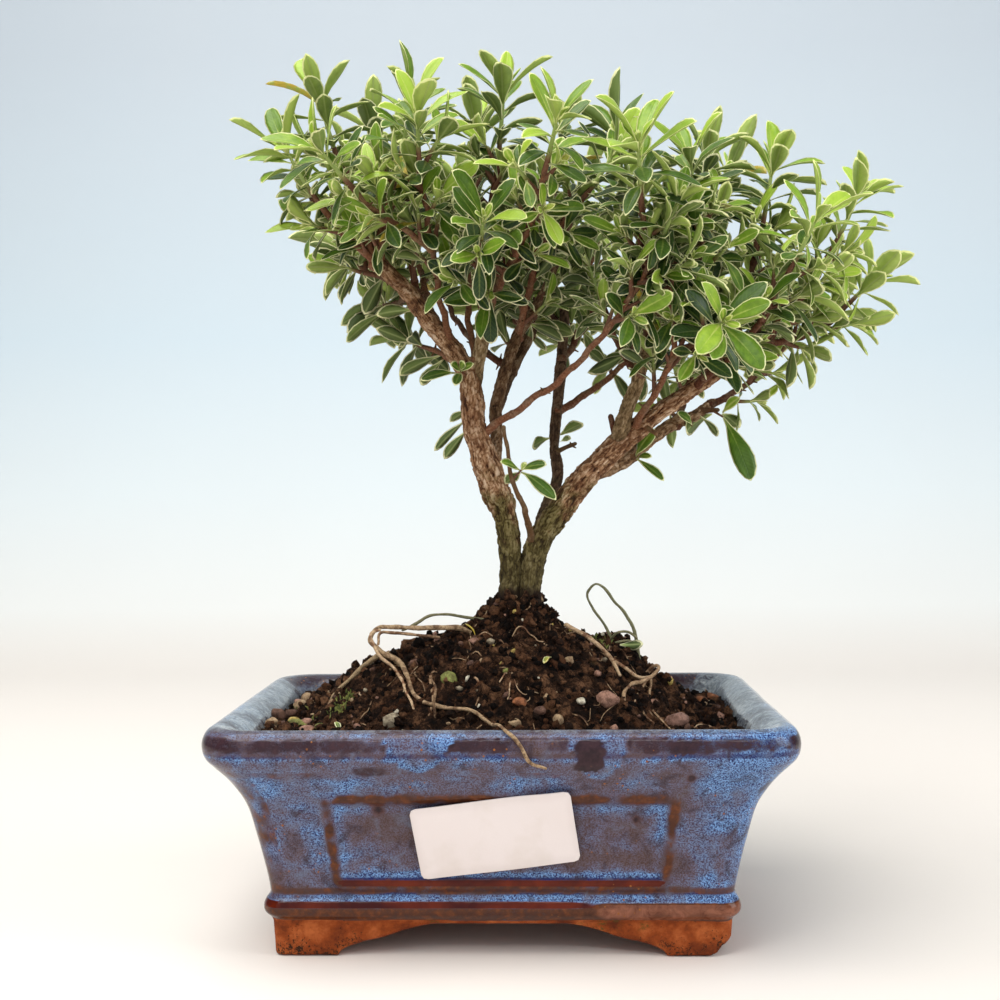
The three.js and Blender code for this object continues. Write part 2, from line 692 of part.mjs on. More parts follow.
function makeShoots(trunk, limbs) {
  const stems = limbs.map(({ shoot, points }) => {
    const [x0, y0, z0] = points[points.length - 2];
    const [x1, y1, z1, radius] = points[points.length - 1];
    const path = points.map(([x, y, z]) => new THREE.Vector3(x, y, z));
    const curve = new THREE.CatmullRomCurve3(path, false, "centripetal");
    const direction = points.length > 2 ? curve.getTangentAt(1) : new THREE.Vector3(x1 - x0, y1 - y0, z1 - z0);
    direction.normalize();
    const base = new THREE.Vector3(x1, y1, z1).addScaledVector(direction, FIT);
    const facing = new THREE.Quaternion().setFromUnitVectors(UP, direction);
    const cone = new THREE.CylinderGeometry(STEM_TIP, radius, shoot, STEM_SIDES, 1);
    cone.translate(0, shoot / 2, 0).applyQuaternion(facing).translate(base.x, base.y, base.z);
    const solid = solidOf(cone);
    return { base, facing, length: shoot, solid, box: boxOf(solid) };
  });
  const placed = [{ solid: trunk, box: boxOf(trunk) }, ...stems];
  return stems.map((stem, number) => {
    const leaves = [];
    LEAF_PAIRS.forEach((pair, rank) => {
      for (const half of [0, 1]) {
        const azimuth = number * GOLDEN_ANGLE + (rank / 2 + half) * Math.PI;
        const length = pair.length * (1 - 0.1 * Math.sin(number * 2 + rank));
        const matrix = leafMatrix(stem.base, stem.facing, stem.length, pair, azimuth);
        const others = placed.filter((piece) => piece !== stem && !leaves.includes(piece));
        const grown = leafBlade(length).scale(LEAF_MARGIN, LEAF_MARGIN, LEAF_MARGIN_THICK);
        grown.applyMatrix4(matrix);
        if (!meetsAny(solidOf(grown), others)) {
          const solid = solidOf(leafBlade(length).applyMatrix4(matrix));
          leaves.push({ solid, box: boxOf(solid) });
        }
      }
    });
    placed.push(...leaves);
    return joined([stem.solid, ...leaves.map((leaf) => leaf.solid)]);
  });
}

// ---- Bare roots, [x, y, z, radius] from where each leaves the soil ----
const ROOTS = {
  left_trailing_root: [
    [-6, -5, 87, 0.9], [-13, -8, 91, 0.9], [-24, -11, 91.5, 0.8], [-34, -13, 92, 0.7], [-39, -15, 92, 0.7],
    [-41, -17, 88.5, 0.7], [-37, -18, 85, 0.8], [-32, -19, 82.5, 0.8], [-29, -24, 79.5, 0.7],
    [-25, -34.5, 73.5, 0.6], [-16, -40, 71.5, 0.6], [-8.5, -42, 71, 0.5], [-4.5, -46, 69.2, 0.5],
    [-2, -53, 68.6, 0.5], [0, -58.5, 69.2, 0.5], [3, -62.4, 67.6, 0.5], [6.3, -63.8, 64.2, 0.5],
    [8.3, -63.8, 60.5, 0.5], [13, -63.2, 58.2, 0.4],
  ],
  left_arching_root: [
    [-29, -15, 77, 0.9], [-34, -14, 82.5, 0.9], [-38.5, -13, 83.4, 0.8], [-43, -12, 80.5, 0.8],
    [-47, -13, 76.5, 0.7], [-51.5, -15, 72.5, 0.7], [-55, -17, 66, 0.6],
  ],
  right_looping_root: [
    [36, 3, 82, 0.5], [33.5, 3, 89, 0.5], [31.5, 3, 92.5, 0.4], [28.5, 2, 97, 0.4], [27, 1, 101.5, 0.4],
    [29.5, 0, 104.5, 0.4], [32.5, 0, 103.2, 0.4], [35.5, 0, 99, 0.5], [39.5, 1, 94, 0.5],
    [42, 2, 88.5, 0.6], [43, 1, 82, 0.7], [43, -1, 75, 0.7],
  ],
  right_bent_root: [
    [43, -6, 74, 0.7], [47.5, -9, 79.3, 0.6], [48.6, -12, 79, 0.6], [45, -16, 76.2, 0.6], [40, -21, 75.4, 0.6],
    [37, -27, 73.6, 0.6], [36.7, -32, 70.8, 0.5], [38, -37, 64.5, 0.5],
  ],
};
// ---- Pebbles pressed into the soil: position and half axes ----
const PEBBLES = {
  mottled_pebble: { at: [-32, -39, 67.2], half: [2.9, 2.6, 2.6] },
  green_pebble: { at: [-15.6, -30.5, 78.2], half: [2.9, 2.6, 2.7] },
  pink_pebble: { at: [31.5, -34, 72.6], half: [3.6, 2.9, 3] },
  broad_pebble: { at: [52, -30, 65.4], half: [4.1, 3.1, 3.2] },
};

function pebble({ at, half }, grow) {
  const stone = new THREE.IcosahedronGeometry(1, 1);
  stone.scale(half[0] + grow, half[1] + grow, half[2] + grow);
  return solidOf(stone.translate(...at));
}

// ---- Soil: the pot's inside less the fit, under a mound that peaks at the trunk ----
function moundHeight(x, y) {
  const reach = x < MOUND_PEAK_X ? MOUND_REACH_LEFT : MOUND_REACH_RIGHT;
  const away = Math.hypot((x - MOUND_PEAK_X) / reach, (y - MOUND_PEAK_Y) / MOUND_REACH_DEPTH);
  const mound = MOUND_RISE * Math.max(0, 1 - away ** 2);
  const collar = COLLAR_RISE * Math.exp(-((away / COLLAR_REACH) ** 2));
  const lumpAway = Math.hypot(x - LUMP.x, y - LUMP.y) / LUMP.reach;
  return SOIL_EDGE_LEVEL + mound + collar + LUMP.rise * Math.exp(-(lumpAway ** 2));
}

function makeSoil(pockets) {
  const below = POT_INSIDE.filter(([z]) => z < SOIL_EDGE_LEVEL).reverse();
  const rings = below.map(([z, halfWidth, corner]) => {
    const level = z === POT_FLOOR_TOP ? z + FIT : z;
    return potRing([level, halfWidth - FIT, corner], SOIL_SIDE_STEPS);
  });
  const edgeHalf = wallInsideAt(SOIL_EDGE_LEVEL) - FIT;
  const shares = [1, 0.93, 0.84, 0.73, 0.6, 0.46, 0.32, 0.2, 0.1];
  for (const share of shares) {
    const ring = potRing([0, edgeHalf, SOIL_CORNER], SOIL_SIDE_STEPS);
    ring.forEach((point) => {
      point.x = THREE.MathUtils.lerp(MOUND_PEAK_X, point.x, share);
      point.y = THREE.MathUtils.lerp(MOUND_PEAK_Y, point.y, share);
      point.z = moundHeight(point.x, point.y);
    });
    rings.push(ring);
  }
  const floor = new THREE.Vector3(0, 0, POT_FLOOR_TOP + FIT);
  const peak = new THREE.Vector3(MOUND_PEAK_X, MOUND_PEAK_Y, moundHeight(MOUND_PEAK_X, MOUND_PEAK_Y));
  return pockets.reduce((soil, pocket) => soil.subtract(pocket), solidOf(skin(rings, floor, peak)));
}

// Half width of the inner wall at height z.
function wallInsideAt(z) {
  const below = POT_INSIDE.findIndex(([height]) => height <= z);
  const [z0, a0] = POT_INSIDE[below];
  const [z1, a1] = POT_INSIDE[below - 1];
  return THREE.MathUtils.mapLinear(z, z0, z1, a0, a1);
}

// ---- Assembly ----
const trunk = makeTrunk();
const shootLimbs = [...TRUNKS, ...BOUGHS, ...TWIGS].filter((entry) => entry.shoot);
const footPockets = TRUNKS.map(({ points }) => limb(points.slice(0, 3), TRUNK_SIDES, 3, FIT));
const rootPockets = Object.values(ROOTS).map((points) => limb(points, ROOT_SIDES, points.length, FIT));
const stonePockets = Object.values(PEBBLES).map((stone) => pebble(stone, FIT));
const screenPockets = [-DRAIN_X, DRAIN_X].map(screenPocket);

addPiece("pot", makePot(), GLAZE);
addPiece("soil", makeSoil([...footPockets, ...rootPockets, ...stonePockets, ...screenPockets]), SOIL);
addPiece("trunk", trunk, BARK);
addPiece("drain_screen_left", drainScreen(-DRAIN_X), SCREEN);
addPiece("drain_screen_right", drainScreen(DRAIN_X), SCREEN);
addPiece("paper_label", makeLabel(), PAPER);
for (const [name, points] of Object.entries(ROOTS)) {
  addPiece(name, limb(points, ROOT_SIDES, points.length), ROOT);
}
for (const [name, stone] of Object.entries(PEBBLES)) {
  addPiece(name, pebble(stone, 0), STONE);
}
makeShoots(trunk, shootLimbs).forEach((shoot, i) => {
  addPiece("leafy_shoot_" + String(i + 1).padStart(2, "0"), shoot, LEAF);
});

const bonsai = new THREE.Group();
bonsai.add(tree);

export default bonsai;
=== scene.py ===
# %% [markdown]
# # A serissa bonsai in its glazed pot
# The plain solids of this little tree are already made and packed: a pot, a body of soil, the wood, the
# green shoots, some bare roots and stones. This lesson gives each of them the surface of the real thing.
# Every new piece is worked out as whole numpy arrays, in millimetres from the middle of the pot's underside,
# and only the last step turns those into metres in the frame of the plain solids.

# %% Load the plain solids
import bpy
import numpy as np
from mathutils import Matrix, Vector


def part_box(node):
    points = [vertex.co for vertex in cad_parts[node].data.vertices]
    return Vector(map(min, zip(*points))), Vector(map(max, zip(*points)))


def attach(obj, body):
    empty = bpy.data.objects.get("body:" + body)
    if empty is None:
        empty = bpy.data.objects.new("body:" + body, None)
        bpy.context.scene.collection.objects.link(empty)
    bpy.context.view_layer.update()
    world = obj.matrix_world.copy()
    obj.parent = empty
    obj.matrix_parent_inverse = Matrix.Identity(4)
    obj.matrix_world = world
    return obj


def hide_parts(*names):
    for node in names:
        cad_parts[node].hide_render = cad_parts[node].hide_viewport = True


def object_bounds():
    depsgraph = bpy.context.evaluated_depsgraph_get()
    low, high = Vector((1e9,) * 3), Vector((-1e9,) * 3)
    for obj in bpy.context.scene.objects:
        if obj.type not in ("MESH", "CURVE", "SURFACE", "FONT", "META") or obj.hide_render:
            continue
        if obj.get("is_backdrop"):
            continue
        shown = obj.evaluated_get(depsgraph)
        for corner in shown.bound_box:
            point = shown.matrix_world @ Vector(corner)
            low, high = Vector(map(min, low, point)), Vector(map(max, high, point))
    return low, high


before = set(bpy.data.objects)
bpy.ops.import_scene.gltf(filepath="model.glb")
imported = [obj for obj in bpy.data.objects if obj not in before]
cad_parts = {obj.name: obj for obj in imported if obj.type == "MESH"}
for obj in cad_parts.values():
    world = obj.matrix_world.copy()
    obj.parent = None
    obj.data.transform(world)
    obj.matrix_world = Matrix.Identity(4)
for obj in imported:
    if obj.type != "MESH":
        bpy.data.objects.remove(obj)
cad_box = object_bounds()
print("plain solids:", len(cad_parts), "box", cad_box)

# %% From millimetres at the pot to metres in the frame
MM = 0.001
pot_low, pot_high = (np.array(corner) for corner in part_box("pot"))
POT_MIDDLE = np.array([*(pot_low + pot_high)[:2] / 2, pot_low[2]])


def in_frame(points):
    """Metres in the frame: a thousandth of the millimetres, plus the middle of the pot's underside."""
    return np.asarray(points, float) * MM + POT_MIDDLE


print("pot's middle in the frame:", POT_MIDDLE.round(4))

# %% [markdown]
# ## Surfaces from arrays
# Everything below is a grid of points: rows along a profile or a path, columns around it. Blender could
# carry a bevelled curve along a path too, but a grid of our own also lets us keep numbers at each point,
# such as how far a point is from a leaf's edge, and the materials read those numbers. A pile gathers many
# grids into one mesh.

# %% Grids
def grid_faces(rows, columns, around=True):
    """Quads between each row and the next. If the grid goes around, the last column joins the first."""
    r = np.arange(rows - 1)[:, None]
    c = np.arange(columns if around else columns - 1)[None, :]
    a = r * columns + c
    b = r * columns + (c + 1) % columns
    return np.stack([a, b, b + columns, a + columns], -1).reshape(-1, 4)


def closed_faces(rows, columns):
    """A grid's quads, and a fan from each end row to its pole. The two poles follow the grid's points."""
    count = rows * columns
    ends = [(count, np.arange(columns)[::-1]), (count + 1, np.arange(count - columns, count))]
    fans = [np.stack([np.full(columns, pole), ring, np.roll(ring, -1)], -1) for pole, ring in ends]
    return [grid_faces(rows, columns)] + fans


# %% [markdown]
# A pile becomes one mesh object in one call, so that every piece below is built, finished, named and put in
# place of the nodes it replaces in the same way.

# %% A pile of surfaces
def keep_numbers(mesh, **numbers):
    """Keeps a number, or three numbers, at each point of a mesh."""
    for name, values in numbers.items():
        kind, field = ("FLOAT_VECTOR", "vector") if values.ndim == 2 else ("FLOAT", "value")
        mesh.attributes.new(name, kind, "POINT").data.foreach_set(field, values.astype(np.float32).ravel())


class Pile:
    """Grids gathered into one mesh, with named numbers kept at every point."""

    def __init__(self):
        self.points, self.faces, self.numbers, self.count = [], [], {}, 0

    def add(self, points, faces, **numbers):
        points = np.asarray(points, float).reshape(-1, 3)
        self.faces += [group + self.count for group in faces if len(group)]
        self.points.append(points)
        self.count += len(points)
        for name, value in numbers.items():
            value = np.asarray(value, float)
            width = () if value.ndim == 0 or value.shape[-1] != 3 or value.size == len(points) else (3,)
            self.numbers.setdefault(name, []).append(np.broadcast_to(value, (len(points),) + width))

    def piece(self, name, finish, replaces=(), rounded=True):
        """The pile as a mesh object that rides on the root body, finished and named. Not rounded: faceted."""
        mesh = bpy.data.meshes.new(name)
        mesh.vertices.add(self.count)
        mesh.vertices.foreach_set("co", in_frame(np.concatenate(self.points)).astype(np.float32).ravel())
        corners = np.concatenate([group.ravel() for group in self.faces])
        sizes = np.concatenate([np.full(len(group), group.shape[1]) for group in self.faces])
        mesh.loops.add(len(corners))
        mesh.loops.foreach_set("vertex_index", corners.astype(np.int32))
        mesh.polygons.add(len(sizes))
        mesh.polygons.foreach_set("loop_start", (np.cumsum(sizes) - sizes).astype(np.int32))
        mesh.polygons.foreach_set("use_smooth", np.full(len(sizes), rounded))
        mesh.update(calc_edges=True)
        keep_numbers(mesh, **{key: np.concatenate(values) for key, values in self.numbers.items()})
        mesh.validate()
        mesh.materials.append(finish.material)
        made = bpy.data.objects.new(name, mesh)
        bpy.context.scene.collection.objects.link(made)
        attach(made, "root")
        if replaces:
            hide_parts(*replaces)
        print(name, "points", self.count, "triangles", int((sizes - 2).sum()))
        return made


# %% [markdown]
# Knots and rings of numbers are easier to read and to change as plain lines of text than in nested brackets.

# %% Numbers from a text
def table(text):
    """Numbers from a text: a list of rows, one a line, each a list of the groups that its commas part."""
    rows = [line.split(",") for line in text.split("\n") if line]
    return [[[float(word) for word in group.split()] for group in row] for row in rows]


# %% [markdown]
# ## Chance that repeats
# Bark, soil and stones need irregular relief that is the same each time the script runs. A small hash gives
# every whole-numbered cell of space its own number between 0 and 1, and two patterns grow from it: soft
# noise, which is eased between the cells' corners, and lumps, which measure how near a point is to a random
# seed in its cell.

# %% Noise from a hash
def cell_number(cells, seed):
    """From 0 to 1 for each cell: its whole numbers times large primes, mixed by shifts and products."""
    n = (cells[..., 0] * 73856093) ^ (cells[..., 1] * 19349663) ^ (cells[..., 2] * 83492791)
    n = (n ^ (seed * 40503 + 977)) & 0xFFFFFFFF
    for shift, factor in ((15, 2246822519), (13, 3266489917)):
        n = ((n ^ (n >> shift)) * factor) & 0xFFFFFFFF
    return ((n ^ (n >> 16)) & 0xFFFFFF) / 0xFFFFFF


def soft_noise(points, size, seed=0):
    """From -1 to 1: the cell corners' numbers, each weighted by 3t² - 2t³ of how near the point is to it."""
    scaled = np.asarray(points) / size
    cell = np.floor(scaled).astype(np.int64)
    t = ease(0, 1, scaled - cell)
    total = 0
    for corner in np.ndindex(2, 2, 2):
        weight = np.prod(np.where(corner, t, 1 - t), axis=-1)
        total = total + weight * cell_number(cell + np.array(corner), seed)
    return 2 * total - 1


def rough_noise(points, size, octaves=3, seed=0):
    """Soft noise, plus half as much at half the size, and so on."""
    return sum(0.5**k * soft_noise(points, size / 2**k, seed + k) for k in range(octaves))


def drift(points, size, seeds, octaves=1):
    """Three noises at once, which carry a point off along x, y and z."""
    return np.stack([rough_noise(points, size, octaves, seed) for seed in seeds], -1)


def lumps(points, size, seed=0):
    """Distances, in cell sizes, to the nearest two of one random seed point a cell, and its number."""
    scaled = np.asarray(points) / size
    cell = np.floor(scaled).astype(np.int64)
    first, second, number = (np.full(scaled.shape[:-1], 9.0) for _ in range(3))
    for offset in np.ndindex(3, 3, 3):
        near = cell + np.array(offset) - 1
        grain = np.stack([cell_number(near, seed + k) for k in (1, 2, 3)], -1)
        away = np.linalg.norm(near + grain - scaled, axis=-1)
        nearer = away < first
        second = np.where(nearer, first, np.minimum(second, away))
        number = np.where(nearer, grain[..., 0], number)
        first = np.where(nearer, away, first)
    return first, second, number


def ease(low, high, value):
    """0 below low, 1 above high, and 3t² - 2t³ between."""
    t = np.clip((value - low) / (high - low), 0, 1)
    return t * t * (3 - 2 * t)


def hump(value, middle, reach):
    """A bell: e to the minus square of the distance from the middle, measured in reaches."""
    return np.exp(-(((value - middle) / reach) ** 2))


# %% [markdown]
# ## Paths
# Limbs, roots and leaf stalks are all profiles carried along a path. A path goes through a few chosen knots,
# each with its own radius, on a centripetal Catmull-Rom curve, which never loops back between close knots. A
# profile needs two directions across the path at each point; crossing the path's direction with one fixed
# axis that it never points along gives both at once, without a step-by-step loop.

# %% A smooth path
def unit(vectors):
    return vectors / np.maximum(np.linalg.norm(vectors, axis=-1, keepdims=True), 1e-12)


def length_along(points):
    """How far each point is along the line through all of them: the running sum of the steps' lengths."""
    return np.concatenate([[0], np.cumsum(np.linalg.norm(np.diff(points, axis=0), axis=1))])


def smooth_path(knots, spacing):
    """The curve through the knots (x, y, z, and more numbers such as a radius), sampled at an even spacing.
    Between two knots it is the cubic that meets their tangents, and the other numbers run straight."""
    knots = np.asarray(knots, float)
    p = np.vstack([2 * knots[0] - knots[1], knots, 2 * knots[-1] - knots[-2]])
    step = np.sqrt(np.linalg.norm(np.diff(p[:, :3], axis=0), axis=1))[:, None]
    p0, p1, p2, p3 = p[:-3], p[1:-2], p[2:-1], p[3:]
    d0, d1, d2 = step[:-2], step[1:-1], step[2:]
    leave = ((p1 - p0) / d0 - (p2 - p0) / (d0 + d1) + (p2 - p1) / d1) * d1
    arrive = ((p2 - p1) / d1 - (p3 - p1) / (d1 + d2) + (p3 - p2) / d2) * d1
    t = np.linspace(0, 1, 17)[:-1, None, None]
    cubic = (2 * t**3 - 3 * t**2 + 1) * p1 + (t**3 - 2 * t**2 + t) * leave
    cubic = cubic + (3 * t**2 - 2 * t**3) * p2 + (t**3 - t**2) * arrive
    cubic[..., 3:] = ((1 - t) * p1 + t * p2)[..., 3:]
    fine = np.vstack([cubic.transpose(1, 0, 2).reshape(-1, knots.shape[1]), knots[-1:]])
    along = length_along(fine[:, :3])
    even = np.linspace(0, along[-1], max(3, int(np.ceil(along[-1] / spacing)) + 1))
    return np.stack([np.interp(even, along, column) for column in fine.T], -1), even


# %% [markdown]
# A tube repeats one ring of points at each place along its path and closes both ends with a rounded cap.
# Limbs, roots and stems all start from this one function.

# %% The directions across it, and a tube
def squared(vectors, way):
    """Each vector less its share along its way, made one long: the nearest direction square to the way."""
    return unit(vectors - way * (vectors * way).sum(-1, keepdims=True))


def square_pair(way):
    """Two unit directions square to the way and to each other, along a path or for one direction."""
    helper = np.eye(3)[np.abs(np.atleast_2d(way)).max(0).argmin()]
    side = unit(np.cross(way, helper))
    return side, np.cross(way, side)


def tube(path, sides, radii=None):
    """A closed tube: a ring at each path point (x, y, z, radius), and a rounded cap of two rings and a pole
    at each end. Returns points, faces, and each point's distance along the path."""
    radii = path[:, 3] if radii is None else radii
    path = path[:, :3]
    tangent = unit(np.gradient(path, axis=0))
    side, other = square_pair(tangent)
    along = length_along(path)
    caps = [(0.9, 0.35), (0.45, 0.85)]  # a ring's share of the radius, and how many radii past the end
    rows = [(0, share, -pull) for share, pull in caps[::-1]] + [(i, 1.0, 0.0) for i in range(len(path))]
    rows += [(len(path) - 1, share, pull) for share, pull in caps]
    index, share, shift = (np.array(column) for column in zip(*rows))
    angle = (np.arange(sides) * 2 * np.pi / sides)[None, :, None]
    middle = path[index] + tangent[index] * (shift * radii[index])[:, None]
    ring = np.cos(angle) * side[index][:, None] + np.sin(angle) * other[index][:, None]
    points = middle[:, None] + ring * (radii[index] * share)[:, None, None]
    ends = [path[0] - tangent[0] * radii[0], path[-1] + tangent[-1] * radii[-1]]
    distance = np.concatenate([np.repeat(along[index], sides), [0, along[-1]]])
    return np.vstack([points.reshape(-1, 3), ends]), closed_faces(len(index), sides), distance


# %% [markdown]
# ## Materials from nodes
# A finish here is one Principled shader fed by noise and by the numbers that the meshes keep at their
# points. The output of a node is wrapped in a small class, so that sums, products and blends of outputs can
# be written as such, and each finish below reads like a recipe.

# %% A node
def node(tree, kind, out=0, **given):
    """Adds a node and returns one output. A setting is the node's property, or a socket's number or link."""
    made = tree.nodes.new("ShaderNode" + kind)
    for key, value in given.items():
        if hasattr(made, key):
            setattr(made, key, value)
            continue
        socket = made.inputs[int(key[1:]) if key[1:].isdigit() else key]
        if isinstance(value, Value):
            tree.links.new(value.socket, socket)
        else:
            socket.default_value = (*value, 1.0) if socket.type == "RGBA" else value
    return Value(tree, made.outputs[out])


# %% [markdown]
# A node's socket can't be added or multiplied in Python by itself. The class below wraps one, and each sum,
# product or blend adds the node that does it.

# %% The output of a node
class Value:
    """One output of a node. Arithmetic with it adds the Math nodes that do it."""

    def __init__(self, tree, socket):
        self.tree, self.socket = tree, socket

    def maths(self, operation, a, b=0.0):
        return node(self.tree, "Math", operation=operation, i0=a, i1=b)

    def __add__(self, other):
        return self.maths("ADD", self, other)

    def __mul__(self, other):
        return self.maths("MULTIPLY", self, other)

    def __sub__(self, other):
        return self.maths("SUBTRACT", self, other)

    def __rsub__(self, other):
        return self.maths("SUBTRACT", other, self)

    def about(self, reach):
        """A noise from 0 to 1, moved to lie about 0 and scaled by reach."""
        return (self - 0.5) * reach

    def between(self, low, high, to_low=0.0, to_high=1.0):
        """Eased from low..high to to_low..to_high."""
        limits = {"i1": low, "i2": high, "i3": to_low, "i4": to_high}
        return node(self.tree, "MapRange", interpolation_type="SMOOTHSTEP", i0=self, **limits)

    def blend(self, a, b):
        """Colour a where this value is 0 and colour b where it is 1."""
        return node(self.tree, "Mix", out=2, data_type="RGBA", i0=self, i6=a, i7=b)

    def ramp(self, *stops):
        """Colours along this value: each stop is (position, red, green, blue)."""
        made = self.tree.nodes.new("ShaderNodeValToRGB")
        elements = made.color_ramp.elements
        while len(elements) < len(stops):
            elements.new(0.5)
        for element, (position, *tint) in zip(elements, stops):
            element.position = position
            element.color = (*tint, 1.0)
        self.tree.links.new(self.socket, made.inputs[0])
        return Value(self.tree, made.outputs[0])


# %% [markdown]
# A finish starts from the shader's plain settings. Its methods add the inputs that most recipes share, such
# as noise, specks and the mesh's kept numbers, and feed the colour and the relief at the end.

# %% A finish
class Finish:
    """A material: one Principled shader, and the nodes that feed it."""

    def __init__(self, name, roughness=0.5, specular=0.5):
        self.material = bpy.data.materials.new(name)
        self.material.use_nodes = True
        self.tree = self.material.node_tree
        self.shader = self.tree.nodes["Principled BSDF"]
        self.shader.inputs["Roughness"].default_value = roughness
        self.shader.inputs["Specular IOR Level"].default_value = specular
        print("finish:", name)

    def kept(self, *names):
        """The numbers that the mesh keeps under these names."""
        return [node(self.tree, "Attribute", out=2, attribute_name=name) for name in names]

    def kept_vector(self, name):
        return node(self.tree, "Attribute", out=1, attribute_name=name)

    def place(self):
        """The point's own place, in metres in the frame."""
        return node(self.tree, "TexCoord", out=3)

    def noise(self, size, detail=3, roughness=0.55, warp=0.0, where=None):
        """Noise from 0 to 1 whose features are about size millimetres across, here or elsewhere."""
        return node(
            self.tree, "TexNoise", Vector=where or self.place(), Scale=1 / (size * MM), Detail=detail,
            Roughness=roughness, Distortion=warp)

    def specks(self, size):
        """Distance to the nearest of one random seed a cell, in cells of size millimetres."""
        return node(self.tree, "TexVoronoi", Vector=self.place(), Scale=1 / (size * MM), Randomness=1.0)

    def feed(self, colour, roughness=None):
        self.tree.links.new(colour.socket, self.shader.inputs["Base Color"])
        if roughness:
            self.tree.links.new(roughness.socket, self.shader.inputs["Roughness"])

    def bump(self, height, distance, strength=1.0):
        """Feeds the shader's normal with a relief: height from 0 to 1 stands for distance in millimetres."""
        relief = node(self.tree, "Bump", Strength=strength, Distance=distance * MM, Height=height)
        self.tree.links.new(relief.socket, self.shader.inputs["Normal"])


# %% [markdown]
# ## The pot's glaze
# The pot was dipped in a brown-black glaze with a blue one over it. In the kiln the blue runs off every
# edge, where the brown clay burns through, and gathers in the hollows, where it turns bright. So the colour
# follows the shape: the mesh keeps how deep the glaze pooled, how bare an edge is, and where the unglazed
# clay begins, and the shader breaks these up with fine speckles. Painting an image would do it too, but it
# would not survive a change of shape.

# %% The two glazes, speckled into each other
glaze_finish = Finish("speckled_blue_glaze", specular=0.2)
pool, bare, line, plum, milky_and_reflection, glazed, clear = glaze_finish.kept(
    "pool", "bare", "line", "plum", "milky_and_reflection", "glazed", "clear")
clouds = glaze_finish.noise(11, warp=0.5)
grain = glaze_finish.noise(0.42, 2, 0.6)
coarse = glaze_finish.noise(2.4, 3, 0.65)
wet = pool + clouds.about(1.6) + coarse.about(0.55)
brown = wet.ramp((0.15, 0.072, 0.038, 0.032), (0.5, 0.078, 0.044, 0.052), (1.0, 0.011, 0.012, 0.085))
blue = wet.ramp(
    (0.1, 0.112, 0.078, 0.094), (0.4, 0.125, 0.120, 0.190),
    (0.75, 0.150, 0.215, 0.365), (1.0, 0.190, 0.360, 0.660))
glaze = (grain.between(0.36, 0.64) * (1.0 - clear)).blend(brown, blue)
tide = glaze_finish.noise(6, 4, 0.62, warp=0.8)
glaze = tide.between(0.50, 0.70, 0.0, 0.68).blend(glaze, (0.030, 0.017, 0.024))
glaze = tide.between(0.46, 0.26, 0.0, 0.40).blend(glaze, (0.150, 0.200, 0.300))

# %% Rust-brown edges, plum patches, red lines, and the milky inside with painted reflection
rust = coarse.ramp((0.3, 0.046, 0.016, 0.009), (0.52, 0.084, 0.027, 0.012), (0.74, 0.160, 0.046, 0.013))
thin = glaze_finish.noise(3.5, 4, 0.7, warp=1.0).ramp((0.3, 0.110, 0.034, 0.018), (0.7, 0.300, 0.115, 0.066))
rust = bare.between(1.15, 1.38).blend(rust, thin)
burnt = bare + (coarse.about(0.7) + grain.about(0.7))
glaze = burnt.between(0.18, 0.80).blend(glaze, rust)
plum_edge = plum + (grain.about(1.2) + coarse.about(1.3))
purple = coarse.ramp((0.3, 0.018, 0.008, 0.012), (0.7, 0.048, 0.022, 0.028))
glaze = plum_edge.between(0.30, 0.95).blend(glaze, purple)
red = clouds.ramp((0.35, 0.042, 0.003, 0.002), (0.65, 0.125, 0.014, 0.002))
glaze = (line + grain.about(0.3)).between(0.30, 0.62).blend(glaze, red)
flecks = glaze_finish.specks(2.3).between(0.17, 0.10) * glaze_finish.noise(19, 2).between(0.54, 0.64)
glaze = flecks.blend(glaze, (0.28, 0.095, 0.02))
streaks = glaze_finish.noise(2.4, 4, 0.7, warp=1.5) + clouds.about(0.8)
# Pale milky glaze, whose pale colour also paints the reflection of the bright room on the inner walls and the
# rim's top.
pale = streaks.ramp((0.34, 0.055, 0.046, 0.048), (0.48, 0.150, 0.175, 0.200), (0.68, 0.370, 0.400, 0.405))
glaze = milky_and_reflection.blend(glaze, pale)

# %% Bare clay, and both together
glazed = (glazed + coarse.about(0.35)).between(0.44, 0.56)
clay = glaze_finish.noise(7, 5, 0.65).ramp(
    (0.32, 0.120, 0.023, 0.006), (0.5, 0.290, 0.058, 0.011), (0.68, 0.500, 0.130, 0.034))
soot = glaze_finish.noise(0.9, 4, 0.8)
low = node(glaze_finish.tree, "SeparateXYZ", "Z", i0=glaze_finish.place())
low = low.between(7.5 * MM, 0.5 * MM, -0.05, 0.10)
clay = (soot + low + glaze_finish.noise(5).about(0.45)).between(0.57, 0.66).blend(clay, (0.028, 0.014, 0.006))
algae = glaze_finish.noise(13).between(0.58, 0.70) * soot.between(0.45, 0.6)
clay = algae.blend(clay, (0.070, 0.070, 0.012))
CLAY_ROUGH = 0.9
shine = coarse.between(0.3, 0.75, 0.05, 0.17) + milky_and_reflection * 0.04
glaze_finish.feed(glazed.blend(clay, glaze), glazed * (shine - CLAY_ROUGH) + CLAY_ROUGH)
glaze_finish.bump(glaze_finish.noise(4.5, 2) * 0.5 + soot * (1.0 - glazed) * 2.2, 0.45, 0.7)

# %% [markdown]
# ## The pot
# The pot was pressed in a mould: a flared box with rounded corners, a rolled rim, a raised frame on each
# wall and a foot ring that is cut away in cloud shapes between four feet. It is one skin here. A row runs
# around the pot and a column runs from under the floor, over the foot, up the wall, over the rim and down
# inside. The columns crowd together where the frames' upright bars stand, and follow their slant, so the
# bars stay crisp.

# %% The pot's profile
DEPTH_LESS = 22.5  # the pot's half depth is its half width less this
FLOOR_UNDER, FLOOR_TOP = 10.0, 15.5  # heights of the floor's two faces
FOOT_INSIDE, WALL_FOOT = 57.0, 10.1  # the foot ring's inner half width, and the height where the wall starts
